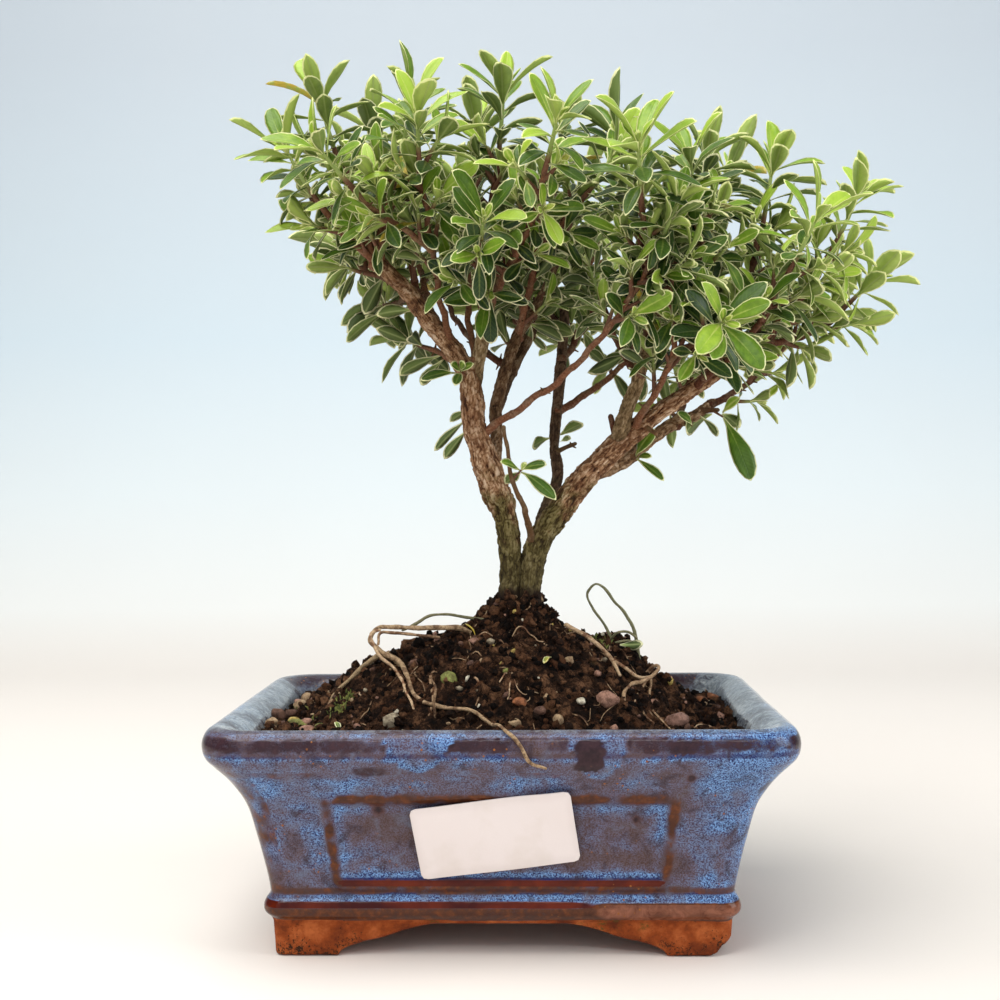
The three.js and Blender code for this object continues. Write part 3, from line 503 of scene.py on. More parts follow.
# Half width, a place for the depth, height and corner radius
WALL_OUTSIDE, WALL_INSIDE = table("""
66.7 0 10.1 4, 67.4 0 11.1 5, 69.0 0 12.8 6, 69.2 0 14.8 6, 68.6 0 16.4 6, 67.7 0 17.8 6, 67.8 0 19.5 6, \
69.1 0 26 7, 71.2 0 35 8, 73.7 0 44 9, 76.4 0 49 10, 79.2 0 53 11, 82.2 0 56.5 12, 84.2 0 59 13, \
85 0 62 13.5, 84.7 0 64.8 13.5, 83.4 0 67 13, 81.5 0 68 12
81.5 0 68 12, 79 0 67.6 11, 76.8 0 66.4 10, 74.6 0 64.6 9, 73.4 0 62.6 8, 72.2 0 58 7, 70 0 50 7, \
66.5 0 35 6, 62 0 20 6, 59 0 15.5 6
""")
outside, _ = smooth_path(WALL_OUTSIDE, 0.66)
inside, _ = smooth_path(WALL_INSIDE, 2.2)
print("rows on the outer wall:", len(outside), "and inside:", len(inside) - 1)


def arch(across_wall, foot_from, crown_to):
    """Height of the opening between two feet: a round toe that rises to 4 near a foot, then a long slope."""
    away = np.abs(across_wall)
    toe = np.sqrt(np.clip((foot_from - away) / 8.0, 0, 1))
    return 4.1 * toe + 5.3 * ease(foot_from - 6, crown_to - 3, away)


# %% Where the columns stand
FRAME_SHARE = 0.75  # a column this share of the way along a straight wall stands on the frame's upright bar
FRAME_MIDDLE, FRAME_HALF = 34.4, 13.1  # heights of the frame's middle and half, bar to bar
LONG_BAR, SHORT_BAR = (46.8, 49.8), (25.3, 28.3)  # the upright bar's place across its wall, low and high
CORNER_COLUMNS = 13


def straight_columns(middle_step, bar_step, end_step):
    """Shares from -1 to 1 along a straight wall, crowded where the upright bars are."""
    spans = [(0, 0.69, middle_step), (0.69, 0.81, bar_step), (0.81, 1.0, end_step)]
    half = np.concatenate([np.arange(*span) for span in spans] + [[1.0]])
    return np.concatenate([-half[:0:-1], half])


LONG_COLUMNS = straight_columns(0.021, 0.0075, 0.03)
SHORT_COLUMNS = straight_columns(0.036, 0.0125, 0.04)


def bar_at(height, low, high):
    """Distance of the upright bar's middle from the wall's middle: it runs straight from low to high."""
    return low + (high - low) * (height - 19.6) / 29.6


def wall_across(share, bar, straight):
    """A column's place across its wall: up to the bar it scales with the bar, past it with the rest."""
    inner = bar * share / FRAME_SHARE
    outer = np.sign(share) * (bar + (straight - bar) * (np.abs(share) - FRAME_SHARE) / (1 - FRAME_SHARE))
    return np.where(np.abs(share) < FRAME_SHARE, inner, outer)


def pot_rows(half, deep, corner, height):
    """Rings of a rounded rectangle, one row for each half width, half depth, corner radius and height, from
    the front wall's left end counter-clockwise. Returns x, y, each column's outward direction, its place
    across its wall, and the wall's number: 0 faces -Y, then +X, +Y and -X."""
    half, deep, corner, height = (np.asarray(v, float)[:, None] for v in (half, deep, corner, height))
    turn = np.linspace(0, np.pi / 2, CORNER_COLUMNS)[None, 1:-1]
    columns = []
    for quarter, (cos, sin) in enumerate([(1, 0), (0, 1), (-1, 0), (0, -1)]):
        long_wall = quarter % 2 == 0
        share, bars = (LONG_COLUMNS, LONG_BAR) if long_wall else (SHORT_COLUMNS, SHORT_BAR)
        reach, out = (half, deep) if long_wall else (deep, half)
        bar = np.minimum(bar_at(height, *bars), 0.8 * (reach - corner))
        u = wall_across(share[None, :], bar, reach - corner)
        u_all = np.concatenate([u, reach - corner + corner * np.sin(turn)], 1)
        v_all = np.concatenate([out + 0 * u, out - corner + corner * np.cos(turn)], 1)
        nu = np.concatenate([0 * u, np.sin(turn) + 0 * corner], 1)
        nv = np.concatenate([0 * u + 1, np.cos(turn) + 0 * corner], 1)
        place_across = np.concatenate([u, reach + 0 * turn], 1)
        # turn (u, -v) by a quarter for each wall
        x, y = u_all * cos + v_all * sin, u_all * sin - v_all * cos
        out_x, out_y = nu * cos + nv * sin, nu * sin - nv * cos
        columns.append((x, y, out_x, out_y, place_across, np.full(x.shape, quarter)))
    return [np.concatenate(part, 1) for part in zip(*columns)]


# %% [markdown]
# The pot's skin is put together from bands of rows. On the foot, a column's lowest point follows the cloud
# arch. The raised frame is a bar at a set distance from a rounded rectangle's outline, and the numbers that
# the glaze reads are bells around that outline, around the moulding and around the rim.

# %% The pot's skin
# Parts of the profile; a part between 0 and 1 is the foot's inner side
FLOOR, FOOT_UNDER, FOOT_SIDE, OUTER, INNER = -1, 9, 10, 0, 20
CHIP = np.array([62.6, -41.5, 1.2])  # where the front right foot is knocked off
CHIP_FACES = unit(np.array([0.75, -0.25, -0.6]))
FRAME_RISE, FRAME_REACH, FRAME_ROUNDING = 1.05, 1.75, 2.2


def frame_line(place_across, height, long_wall):
    """Signed distance to the frame's outline, a rounded rectangle: negative inside the panel."""
    half = np.where(long_wall, bar_at(height, *LONG_BAR), bar_at(height, *SHORT_BAR))
    px = np.abs(place_across) - half + FRAME_ROUNDING
    pz = np.abs(height - FRAME_MIDDLE) - FRAME_HALF + FRAME_ROUNDING
    return np.hypot(np.maximum(px, 0), np.maximum(pz, 0)) + np.minimum(np.maximum(px, pz), 0) - FRAME_ROUNDING


foot_deep = FOOT_INSIDE - DEPTH_LESS
bands = [(FOOT_INSIDE * s, foot_deep * s, 2 * s, FLOOR_UNDER, FLOOR) for s in (0.06, 1.0)]
bands += [(FOOT_INSIDE, foot_deep, 2, FLOOR_UNDER, t) for t in (0.25, 0.6, 0.9)]
sole = ((57.4, 0.25), (59, 0), (62, 0), (65.2, 0), (65.8, 0.35))
bands += [(half, half - DEPTH_LESS, 2.5, lift, FOOT_UNDER) for half, lift in sole]
bands += [(66.0 + 0.7 * t, 43.5 + 0.7 * t, 3 + t, t, FOOT_SIDE) for t in np.linspace(0.1, 0.93, 9)]
bands += [(half, half - DEPTH_LESS, corner, height, OUTER) for half, _, height, corner in outside]
bands += [(half, half - DEPTH_LESS, corner, height, INNER) for half, _, height, corner in inside[1:]]
bands += [(59 * s, 36.5 * s, 6 * s, FLOOR_TOP, FLOOR) for s in (0.5, 0.06)]
half, deep, corner, height, part = (np.array(column, float)[:, None] for column in zip(*bands))
x, y, out_x, out_y, across_wall, wall = pot_rows(half[:, 0], deep[:, 0], corner[:, 0], height[:, 0])
part, z = part + 0 * x, height + 0 * x
long_wall = wall % 2 == 0
bottom = np.where(long_wall, arch(x, 47.5, 21), arch(y, 25, 10))
in_foot = (part > 0) & (part < 1)
z = np.where(in_foot, FLOOR_UNDER + (np.minimum(bottom, 9.4) - FLOOR_UNDER) * part, z)
z = np.where(part == FOOT_UNDER, bottom + z, z)
z = np.where(part == FOOT_SIDE, bottom + (WALL_FOOT - bottom) * z, z)
outer, inner_wall, foot = part == OUTER, part == INNER, (part == FOOT_UNDER) | (part == FOOT_SIDE)
line_away = frame_line(across_wall, z, long_wall)
straight = np.abs(across_wall) < np.where(long_wall, half, deep) - corner + 1
panelled = outer & straight & (z > 17) & (z < 56)
points = np.stack([x, y, z], -1)
knobs = rough_noise(points, 3.5, 3, seed=9)
rise = panelled * FRAME_RISE * np.exp(-((line_away / FRAME_REACH) ** 4))
rise = rise + 0.22 * (outer | inner_wall) * rough_noise(points, 26, 3, seed=4) + 0.16 * foot * knobs
points[..., 0] += rise * out_x
points[..., 1] += rise * out_y
beyond = np.maximum(((points - CHIP) @ CHIP_FACES) + 0.5 * knobs, 0)
points -= np.where(z < 9, beyond, 0)[..., None] * CHIP_FACES
points[..., 2] = np.maximum(points[..., 2], 0)
print("pot grid:", points.shape[:2])

# %% [markdown]
# Now the numbers for the glaze. The blue pools thickest just above the two red lines, along the rim's lower
# edge and beside the upright bars. It is thin on the ridges, in the corners and on the moulding at the
# right. The front has marks of its own: two scallops where the blue ran down from the rim, a plum-brown
# patch inside one of them, a faint stain and three small pits.

# %% How deep the blue pooled, and where it burnt through
IN_FRAME_LINE, FOOT_LINE = (21.0, 22.4), (14.9, 16.2)  # heights of the two red lines
IN_FRAME_POOL, FOOT_POOL = (23.0, 24.7), (16.0, 18.6)  # the blue that gathered above them
MOULDING = (10.8, 14.7)


def band(value, low, high, soft_low, soft_high):
    """1 from low to high, easing to 0 over each soft edge outside them."""
    return ease(low - soft_low, low, value) * ease(high + soft_high, high, value)


front = outer & (wall == 0)
panel = panelled & (line_away < -1.2)
wander = rough_noise(points, 13, 3, seed=21)
fine = rough_noise(points, 3.2, 2, seed=33)
runs = rough_noise(points * [1, 1, 0.3], 5.0, 2, seed=52)
drips = rough_noise(points * [1, 1, 0.12], 1.1, 2, seed=58)
pool = 0.50 + 0.34 * wander + 0.10 * runs + 0.55 * ease(51, 60, across_wall) * (wall == 0)
pool = pool + panel * (0.27 * hump(line_away, -3.2, 1.5) * ease(24, 29, z) - 0.26 * ease(-3, -8, line_away))
pool = pool - panel * 0.24 * hump(z, 28.0, 2.2)
frame_pool = 1.05 * band(z + 0.25 * fine, *IN_FRAME_POOL, 0.4, 0.9 + 0.3 * wander)
pool = np.where(panel, np.maximum(pool, frame_pool), pool)
foot_pool = (0.92 + 0.3 * wander) * band(z + 0.25 * fine, *FOOT_POOL, 0.4, 0.7 + 0.2 * wander)
under_rim = hump(z, 60.6 + 0.7 * wander, 1.3) + 0.8 * hump(z, 66.9, 0.7)
rim_pool = (0.95 + 0.45 * wander + 0.5 * drips) * under_rim
deepest = np.maximum(np.maximum(pool, foot_pool), rim_pool)
pool = np.where(outer, deepest + 0.22 * hump(z, 52.5 + wander, 2.6), pool)
bare = panelled * np.exp(-((line_away / FRAME_REACH) ** 2)) * (0.82 + 0.45 * fine)
at_corner = np.where(straight, 0, np.where((wall == 0) & (across_wall > 0), 0.25, 1))
bare = bare + 0.62 * at_corner * ease(58, 50, z) * ease(14, 20, z) * (0.8 + 0.5 * fine)
shoulder = outer * band(z - 0.6 * wander, 54.4, 56.0, 0.9, 0.6) * ease(0.0, 0.35, wander + 0.1)
below_frame = outer * band(z + 0.3 * fine, 18.8, 20.3, 0.5, 0.5)
bare = np.maximum(np.maximum(bare, 0.42 * shoulder), 0.55 * below_frame)
right_side = ease(0.2, 0.5, across_wall / 66 + 0.08 * wander) * (wall == 0)
moulding = outer * band(z, *MOULDING, 0.6, 0.3)
pool = (pool - 0.45 * below_frame) * (1 - 0.8 * moulding)
bare = np.maximum(bare, (0.75 + (0.6 + 0.15 * fine) * right_side) * moulding)
bare = np.maximum(bare, outer * 1.3 * right_side * band(z, 13, 13.6 + 2.2 * right_side, 1, 0.7))

# %% Red lines, clear glaze, plum, and milky places with painted reflection
within_frame = panelled & (line_away < 0.3)
line = within_frame * band(z, *IN_FRAME_LINE, 0.3, 0.35) * ease(2, -1.5, line_away)
line = 1.15 * (line + outer * band(z, *FOOT_LINE, 0.3, 0.3)) * (1 - 0.8 * right_side * ease(18, 16, z))
clear = panel * band(z, 22.6, 23.5, 0.2, 0.4)
clear = clear + outer * (0.9 * band(z, 18.3, 19.1, 0.4, 0.5) + 0.75 * band(z, 60.9, 62.0, 0.5, 0.5))
plum = outer * band(z + 0.35 * wander + 0.6 * drips, 62.8, 65.4, 1.5, 1.3)
plum = plum * (0.85 + 0.3 * runs + 0.35 * wander)
rear = (wall == 2) * ease(63.0, 65.5, z)
# Milky inside and on the rim's top: partly a pale glaze, partly painted reflection of the bright room; the
# back edge stays dark.
milky_and_reflection = (0.85 * inner_wall + 0.45 * outer * ease(66.8, 68, z)) * (1 - 0.85 * rear)
plum = np.maximum(plum, 0.85 * rear)
SCALLOPS = [(-22.5, 56.6, 8.5), (27.5, 54.0, 7.5)]  # middle across, lowest height, half width
for middle, lowest, half_width in SCALLOPS:
    lower_edge = lowest + (63 - lowest) * np.abs((across_wall - middle) / half_width) ** 2.4 + 0.5 * fine
    within = front & (z < 66.5) & (z > lower_edge)
    beside = front & ~within & (np.abs(across_wall - middle) < half_width + 3)
    pool = np.where(within, 0.80 + 0.35 * hump(z, lower_edge + 0.9, 0.8) + 0.3 * wander, pool)
    plum = np.where(within, 0.35 * plum, plum) + beside * 0.42 * hump(z, lower_edge - 1.0, 1.1)
    bare = np.where(within, 0, bare)
patch = hump(across_wall + 0.8 * fine, 25.4, 4.6) * ease(56.0, 57.6, z + 1.2 * fine) * ease(67, 65, z)
patch = patch * ease(-0.5, 0.5, 1.6 * hump(across_wall, 24, 2.8) + ease(57.5, 59.5, z) + fine - 0.8)
stain = hump(across_wall, -36, 7) * hump(z, 56.6, 2.2)
for mark in (1.25 * ease(0.30, 0.62, patch), 0.8 * ease(0.35, 0.75, stain)):
    plum = np.maximum(plum, front * mark)
PITS = [(53.4, 54.4, 1.1), (-34.5, 44.2, 1.3), (38.5, 41.0, 0.9)]  # across, height, radius
for middle, level, reach in PITS:
    away = np.hypot(across_wall - middle, z - level)
    plum = plum + front * 1.4 * hump(away, 0, reach)
    bare = bare + front * 0.8 * hump(away, 0, 1.7 * reach)
unglazed = (part == FLOOR) | in_foot | foot
glazed = ~unglazed * ease(10.2, 11.3, z + 0.4 * wander)
pot_numbers = {
    "pool": pool, "bare": np.clip(bare, 0, 1.5), "line": np.clip(line, 0, 1.2), "plum": np.clip(plum, 0, 1.4),
    "milky_and_reflection": milky_and_reflection, "glazed": glazed, "clear": np.clip(clear, 0, 1),
}

# %% One skin for the pot
pot_pile = Pile()
pot_poles = [[0, 0, FLOOR_UNDER], [0, 0, FLOOR_TOP]]
pot_numbers = {key: np.concatenate([value.ravel(), [0, 0]]) for key, value in pot_numbers.items()}
pot_pile.add(np.vstack([points.reshape(-1, 3), pot_poles]), closed_faces(*z.shape), **pot_numbers)
pot = pot_pile.piece("glazed_pot", glaze_finish, replaces=["pot"])

# %% [markdown]
# Water leaves a pot through two holes in its floor. They are bored through the finished skin with a Boolean
# modifier, because a hole is a cut in clay too, and the modifier keeps the skin closed around it.

# %% Drain holes
DRAIN_X, DRAIN_RADIUS, DRAIN_SIDES = 32.0, 6.0, 32


def evaluated(thing):
    """The mesh that a thing's modifiers make, with the modifiers used up."""
    bpy.context.view_layer.update()
    made = bpy.data.meshes.new_from_object(thing.evaluated_get(bpy.context.evaluated_depsgraph_get()))
    thing.modifiers.clear()
    old, thing.data = thing.data, made
    bpy.data.meshes.remove(old)
    return made


bores = []
turn = np.arange(DRAIN_SIDES) * 2 * np.pi / DRAIN_SIDES
for hole_x in (-DRAIN_X, DRAIN_X):
    ring = [hole_x + DRAIN_RADIUS * np.cos(turn), DRAIN_RADIUS * np.sin(turn)]
    levels = [np.column_stack([*ring, np.full(DRAIN_SIDES, level)]) for level in (5.0, 20.0)]
    bore = bpy.data.meshes.new("bore")
    caps = [tuple(range(DRAIN_SIDES - 1, -1, -1)), tuple(range(DRAIN_SIDES, 2 * DRAIN_SIDES))]
    bore.from_pydata(in_frame(np.vstack(levels)).tolist(), [], grid_faces(2, DRAIN_SIDES).tolist() + caps)
    bores.append(bpy.data.objects.new("bore", bore))
    bpy.context.scene.collection.objects.link(bores[-1])
    cut = pot.modifiers.new("drain_hole", "BOOLEAN")
    cut.operation, cut.solver, cut.object = "DIFFERENCE", "EXACT", bores[-1]
holed = evaluated(pot)
for bore in bores:
    bpy.data.objects.remove(bore)
print("pot with drain holes:", len(holed.vertices), "points,", len(holed.materials), "finish")

# %% [markdown]
# ## The wood
# Two trunks rise from one foot. The left one leans left and carries a bough, the right one bends far out to
# the right, and thinner stems climb behind and between them. The limbs are given by the few knots they pass
# through, each with its radius.

# %% The knots of the trunks and boughs
def limbs(text):
    """One limb a line: the length of the green shoot at its end, or 0; then its knots' x, y, z and radius."""
    return [(row[0][0], row[1:]) for row in table(text)]


TRUNKS = limbs("""
0, 2.2 0 84 5, 2.2 0 98 3.6, 2.3 0 110 3.4, 1.7 0 120 3.6, 0.4 0 128 3.9, -2.4 -1 134.6 4.4, \
-4.6 -2 141 4.3, -6.8 -2.5 148.5 3.8, -9 -3 156 3.7, -9.2 -4 163.5 3.7, -10 -4 172 3.2
0, 7.4 0 84 5, 8.2 0 98 3.7, 9.2 0 106.6 3.6, 10.3 1 113 4, 12.2 1 118.5 4, 15.7 2 124 4.3, 19.4 2 129 4.2, \
23 3 134.4 3.9, 27.8 3 140 3.8, 33.2 4 145 3.8, 38 5 149.5 4.1, 45 6 155 3, 53 6 161 2.8, 62 7 167 2.4, \
71 7 173 2.1, 79 8 178 1.8, 86 8 184 1.4
""")
BOUGHS = limbs("""
0, -9 -4 167 3.1, -13 -4 176 3.1, -18 -5 183 3, -24 -6 190 2.8, -29 -7 197 2.6, -34 -8 202 2.5, -39 -9 208 2.2
0, -8 -4 169 2.1, -7 -5 177 2.1, -5 -7 186 2, -3 -8 195 1.9, -1 -10 205 1.7
22, -5 0 137 2.6, -2 4 150 2.3, -2 8 162 2.1, 1 12 174 2, 5 16 186 1.8, 10 20 194 1.6, 14 24 202 1.4, \
18 28 211 1.2, 22 31 222 1
20, -2 7 160 1.8, 3 20 175 2, 9 30 188 1.9, 13 38 199 1.5, 16 44 209 1.1
0, 12 1 112 2.2, 12 8 123 2.1, 15 15 131 2, 18 20 139 1.9, 17 26 150 1.9, 18 31 161 1.9, 19 35 171 1.9, \
20 39 182 1.8, 21 43 192 1.7, 21 46 202 1.5
0, 37 4 149 2.7, 40 1 160 2.4, 43 -2 168 2.2, 45 -6 177 2.1, 48 -10 186 1.9, 50 -13 196 1.6
0, 30 4 140 2.6, 40 12 144 2.3, 50 18 152 2.2, 58 22 157 2, 64 25 159 1.9, 71 29 164 1.6
""")

# %% [markdown]
# The twigs are given in the same way. Each starts inside the limb it grows from, and ends in a green shoot.
# The two bare spurs end without one.

# %% The knots of the twigs and bare spurs
TWIGS = limbs("""
20, -39 -9 206 1.9, -43 -10 217 1.6, -46 -12 227 1.3, -50 -14 238 1
22, -38 -9 206 1.8, -36 -14 216 1.5, -33 -19 224 1.3, -30 -24 233 1
19, -39 -8 207 1.5, -41 0 222 1.2, -41 5 236 1
20, -38 -9 206 1.6, -44 -12 211 1.3, -50 -15 217 1.2, -55 -18 223 1.1
16, -33 -8 201 1.2, -40 0 204 1, -45 7 207 0.8
17, -29 -7 196 1.2, -34 4 195 1, -38 14 196 0.9
15, -11 -4 171 1.4, -18 2 178 1.1, -24 8 181 0.9
20, -25 -6 191 1.5, -27 0 201 1.3, -30 6 212 1.2, -31 10 223 1.1, -32 14 234 1
15, -16 -5 180 1.3, -19 -16 196 1.1, -20 -28 208 1, -21 -37 218 0.9, -22 -44 228 0.8
18, -20 -28 207 1.1, -32 -40 214 0.9, -40 -50 220 0.8
20, -20 -5 185 1.6, -24 8 196 1.3, -28 24 208 1.1, -31 38 219 0.9
17, -25 12 199 1.2, -40 24 207 1, -50 32 214 0.8
18, -1 -10 203 1.5, 8 -17 208 1.3, 14 -22 211 1.1, 20 -28 214 1, 25 -32 220 0.9
22, -1 -10 203 1.4, -3 -14 214 1.2, -2 -18 225 1.1, 0 -20 235 0.9
18, -3 -8 194 1.4, 5 -28 205 1.2, 11 -44 214 1, 14 -56 223 0.8
22, -8 -5 176 1.3, -10 0 190 1.1, -10 4 206 1, -9 7 222 0.9, -9 8 234 0.8
13, -5 -7 188 1.2, -6 -24 196 1, -5 -40 204 0.8
22, 5 16 185 1.5, 9 10 200 1.2, 13 6 215 1.1, 17 2 229 0.9
20, 10 20 193 1.4, 2 26 206 1.1, -5 29 220 0.9
20, 9 30 187 1.5, 1 42 198 1.2, -6 53 210 0.9
20, 3 20 174 1.5, -12 34 188 1.2, -20 46 201 0.9
18, -7 -3 151 1.6, -2 -5 155 1.4, 3 -7 158 1.3, 10 -12 163 1.2, 20 -20 169 1.1, 31 -32 180 1, \
39 -41 190 0.9, 45 -47 201 0.8
20, 20 38 180 1.5, 28 50 192 1.2, 34 60 203 0.9
20, 21 42 189 1.4, 15 55 200 1.2, 9 66 211 0.9
20, 18 31 161 1.5, 34 42 172 1.2, 46 51 183 0.9
20, 21 45 199 1.4, 29 47 212 1.2, 34 49 225 0.9
12, 17 24 147 0.9, 24 21 150 0.7
24, 50 -13 194 1.5, 46 -18 206 1.2, 43 -21 220 0.9
22, 50 -13 193 1.5, 56 -11 206 1.2, 60 -9 220 0.9
20, 44 -4 171 1.4, 40 3 177 1.2, 37 10 184 1.1, 34 15 194 0.9
20, 46 -8 181 1.4, 44 -26 193 1.1, 42 -42 204 1, 41 -53 214 0.8
20, 56 -10 205 1.2, 64 2 214 1, 69 9 225 0.9
16, 42 5 153 1.5, 47 -6 163 1.2, 51 -14 170 1.1, 53 -24 179 1, 51 -33 189 0.9, 50 -38 199 0.8
14, 52 -18 174 1, 58 -28 177 0.9, 61 -37 179 0.8
20, 66 7 169 1.6, 66 -6 181 1.3, 63 -18 192 1.2, 61 -28 203 1, 59 -36 213 0.9
20, 85 8 183 1.3, 94 7 192 1.2, 101 4 202 1, 106 2 211 0.9
15, 82 8 180 1.4, 95 12 183 1.2, 106 15 188 1, 113 17 194 0.9
20, 78 8 177 1.4, 84 20 188 1.2, 88 31 200 0.9
22, 72 7 173 1.5, 76 2 188 1.2, 79 -3 202 1.1, 82 -7 215 0.9
20, 62 7 167 1.5, 72 -8 176 1.2, 80 -20 186 1.1, 86 -30 198 0.9
18, 70 28 163 1.4, 80 33 168 1.2, 88 36 174 1, 94 38 180 0.9
8, 67 26 161 1.1, 72 24 161 0.8
20, 58 22 156 1.5, 63 36 168 1.2, 68 48 180 1, 72 55 192 0.9
11, 46 5 155 1, 49 -2 152 0.7
""")
SPURS = limbs("""
0, 9.3 -1 119 1.2, 7 -8 128 1, 4 -12 137 0.8, 2 -14 146 0.7, 1 -15 154 0.6
0, 37 5 151 1.4, 35 4 158 0.9
""")
stout = [knots for _, knots in TRUNKS + BOUGHS]
shooting = sum(shoot > 0 for shoot, _ in TRUNKS + BOUGHS + TWIGS)
print("stout limbs:", len(stout), "twigs:", len(TWIGS), "with a shoot:", shooting)

# %% [markdown]
# ## Bark
# Dry flakes are a reddish tan with paler edges, and the hollows between them are dark brown. Low on the
# trunks the bark carries a green film of algae and, at the very foot, soil, and painted shade darkens it
# towards the foot; the thin stems behind are much darker, which is painted shade too. The noise for the
# flakes is laid along each limb, by coordinates that the mesh keeps, so that it runs up the stem.

# %% Bark's finish
bark = Finish("flaking_bark", specular=0.18)
crack, plate, height, dark, olive, hollow = bark.kept("crack", "plate", "rise", "dark", "olive", "hollow")
limb_place = bark.kept_vector("on_limb")


def along_limb(squeeze):
    """Coordinates on the limb, squeezed along it, so that a noise there comes out long."""
    return node(bark.tree, "Mapping", i0=limb_place, i3=(1.0, 1.0, squeeze))


fibre = bark.noise(0.45, 3, 0.7, where=along_limb(0.16))
flake = bark.noise(1.1, 4, 0.75, warp=0.4, where=along_limb(0.34))
tone = plate * 0.12 + fibre * 0.50 + flake * 0.62 - hollow * 0.26
tan = tone.ramp(
    (0.30, 0.034, 0.013, 0.006), (0.40, 0.150, 0.062, 0.027), (0.50, 0.285, 0.145, 0.070),
    (0.60, 0.450, 0.275, 0.155), (0.72, 0.680, 0.500, 0.350))
umber = tone.ramp((0.24, 0.045, 0.018, 0.009), (0.48, 0.145, 0.060, 0.026), (0.74, 0.330, 0.180, 0.095))
film = tone.ramp((0.32, 0.012, 0.011, 0.003), (0.48, 0.062, 0.062, 0.013), (0.68, 0.190, 0.170, 0.055))
olive_bark = tone.ramp((0.2, 0.095, 0.070, 0.028), (0.7, 0.315, 0.260, 0.130))
painted_shade_bark = tone.ramp((0.2, 0.014, 0.008, 0.005), (0.7, 0.095, 0.060, 0.038))
base = (bark.noise(6.5, 4, 0.6).between(0.44, 0.62) * 0.7).blend(tan, umber)
green = (bark.noise(7.5, 3, 0.6) * 1.5 + height.between(158, 104)).between(1.05, 1.45)
base = (green * 0.80).blend(base, film)
# The dark number paints shade on the thin stems behind the trunks.
base = dark.blend(olive.blend(base, olive_bark), painted_shade_bark)
base = (crack.between(0.25, 0.9) * 0.25).blend(base, (0.030, 0.014, 0.008))
# Painted shade: the bark darkens towards the foot of the trunks, from 128 down to 104 millimetres.
base = height.between(128, 104, 0.0, 0.45).blend(base, (0.026, 0.020, 0.009))
soiled = height.between(109, 100) + flake.about(2.0) * 0.5
base = soiled.between(0.45, 1.0).blend(base, (0.022, 0.012, 0.007))
bark.feed(base, fibre.between(0.2, 0.8, 0.95, 0.68))
bark.bump(fibre * 0.5 + flake * 0.8 - crack * 0.15, 0.9)

# %% [markdown]
# The stout limbs are carried as tubes, each starting inside the one it grows from. Where they meet, a real
# fork is one skin, so the tubes are remade as one by a voxel remesh, which also rounds the crotches.
# Modelling each fork by hand would look no better at this size.

# %% One skin over the stout limbs
VOXEL = 0.49  # millimetres
WOOD_SIDES = 20
wood_tubes = Pile()
axis = {"at": [], "tangent": [], "side": [], "other": [], "radius": [], "along": [], "limb": []}
for number, knots in enumerate(stout):
    path, along = smooth_path(knots, 0.7)
    at, radius = path[:, :3], path[:, 3]
    swell = 1 + 0.07 * soft_noise(at + 40 * number, 6, seed=number)
    tangent = unit(np.gradient(at, axis=0))
    places, faces, _ = tube(path, WOOD_SIDES, radius * swell)
    wood_tubes.add(places, faces)
    numbers = np.full(len(path), number)
    for key, value in zip(axis, (at, tangent, *square_pair(tangent), radius, along, numbers)):
        axis[key].append(value)
axis = {key: np.concatenate(values) for key, values in axis.items()}
wood = wood_tubes.piece("trunks_and_boughs", bark, replaces=["trunk"])
remesh = wood.modifiers.new("one_skin", "REMESH")
remesh.mode, remesh.voxel_size, remesh.use_smooth_shade = "VOXEL", VOXEL * MM, True
smooth = wood.modifiers.new("soften", "SMOOTH")
smooth.factor, smooth.iterations = 0.5, 3
wood_mesh = evaluated(wood)

# %% [markdown]
# The bark of an old serissa flakes in narrow strips that run up the stem, with dark cracks between them.
# Each point of the skin finds the limb it belongs to and gets three coordinates on it: two across the limb,
# and one along it that is squeezed, so that lumps of equal size come out as long plates. The plates push the
# skin out and the cracks let it in, less on thinner limbs. The numbers are kept for the colour.

# %% Which limb a point belongs to
BATCH = 6000  # points handled at once, to save memory


def owners(points):
    """For each point, the axis sample that is nearest by distance less radius, and by how much the next
    limb is further."""
    starts = np.searchsorted(axis["limb"], np.arange(len(stout)))
    nearest, margin = [], []
    for low in range(0, len(points), BATCH):
        part = points[low : low + BATCH]
        square = (part**2).sum(1)[:, None] + (axis["at"] ** 2).sum(1)[None] - 2 * part @ axis["at"].T
        gap = np.sqrt(np.maximum(square, 0)) - axis["radius"]
        per_limb = np.sort(np.minimum.reduceat(gap, starts, axis=1), axis=1)
        nearest.append(gap.argmin(1))
        margin.append(per_limb[:, 1] - per_limb[:, 0])
    return np.concatenate(nearest), np.concatenate(margin)


def mesh_array(mesh, what):
    values = np.empty(len(mesh.vertices) * 3, np.float32)
    mesh.vertices.foreach_get(what, values)
    return values.reshape(-1, 3).astype(float)


# %% The bark's relief
# For each stout limb: how dark it is, which is painted shade on the stems behind, and how olive
LIMB_PAINTED_SHADE = np.array([0.0, 0.0, 0.05, 0.05, 0.35, 0.65, 0.80, 0.05, 0.15])
LIMB_OLIVE = np.array([0.0, 0.0, 0.05, 0.55, 0.15, 0.1, 0.0, 0.5, 0.2])
skin = (mesh_array(wood_mesh, "co") - POT_MIDDLE) / MM
nearest, margin = owners(skin)
of_limb = {key: values[nearest] for key, values in axis.items()}
away = skin - of_limb["at"]
side, other, ahead = ((away * of_limb[key]).sum(1) for key in ("side", "other", "tangent"))
on_limb = np.stack([side, other, ahead + of_limb["along"]], -1)
apart = of_limb["limb"][:, None] * [0, 0, 31.0]  # so that no two limbs have the same noise
warp = drift(on_limb, 2.6, (5, 6, 7))
first, second, plate = lumps(on_limb * [1, 1, 0.42] + apart + 0.55 * warp, 1.15, seed=11)
crack = 1 - ease(0.02, 0.22, second - first)
lift = (1 - crack) * (0.2 + 0.8 * plate) - 0.45 * crack
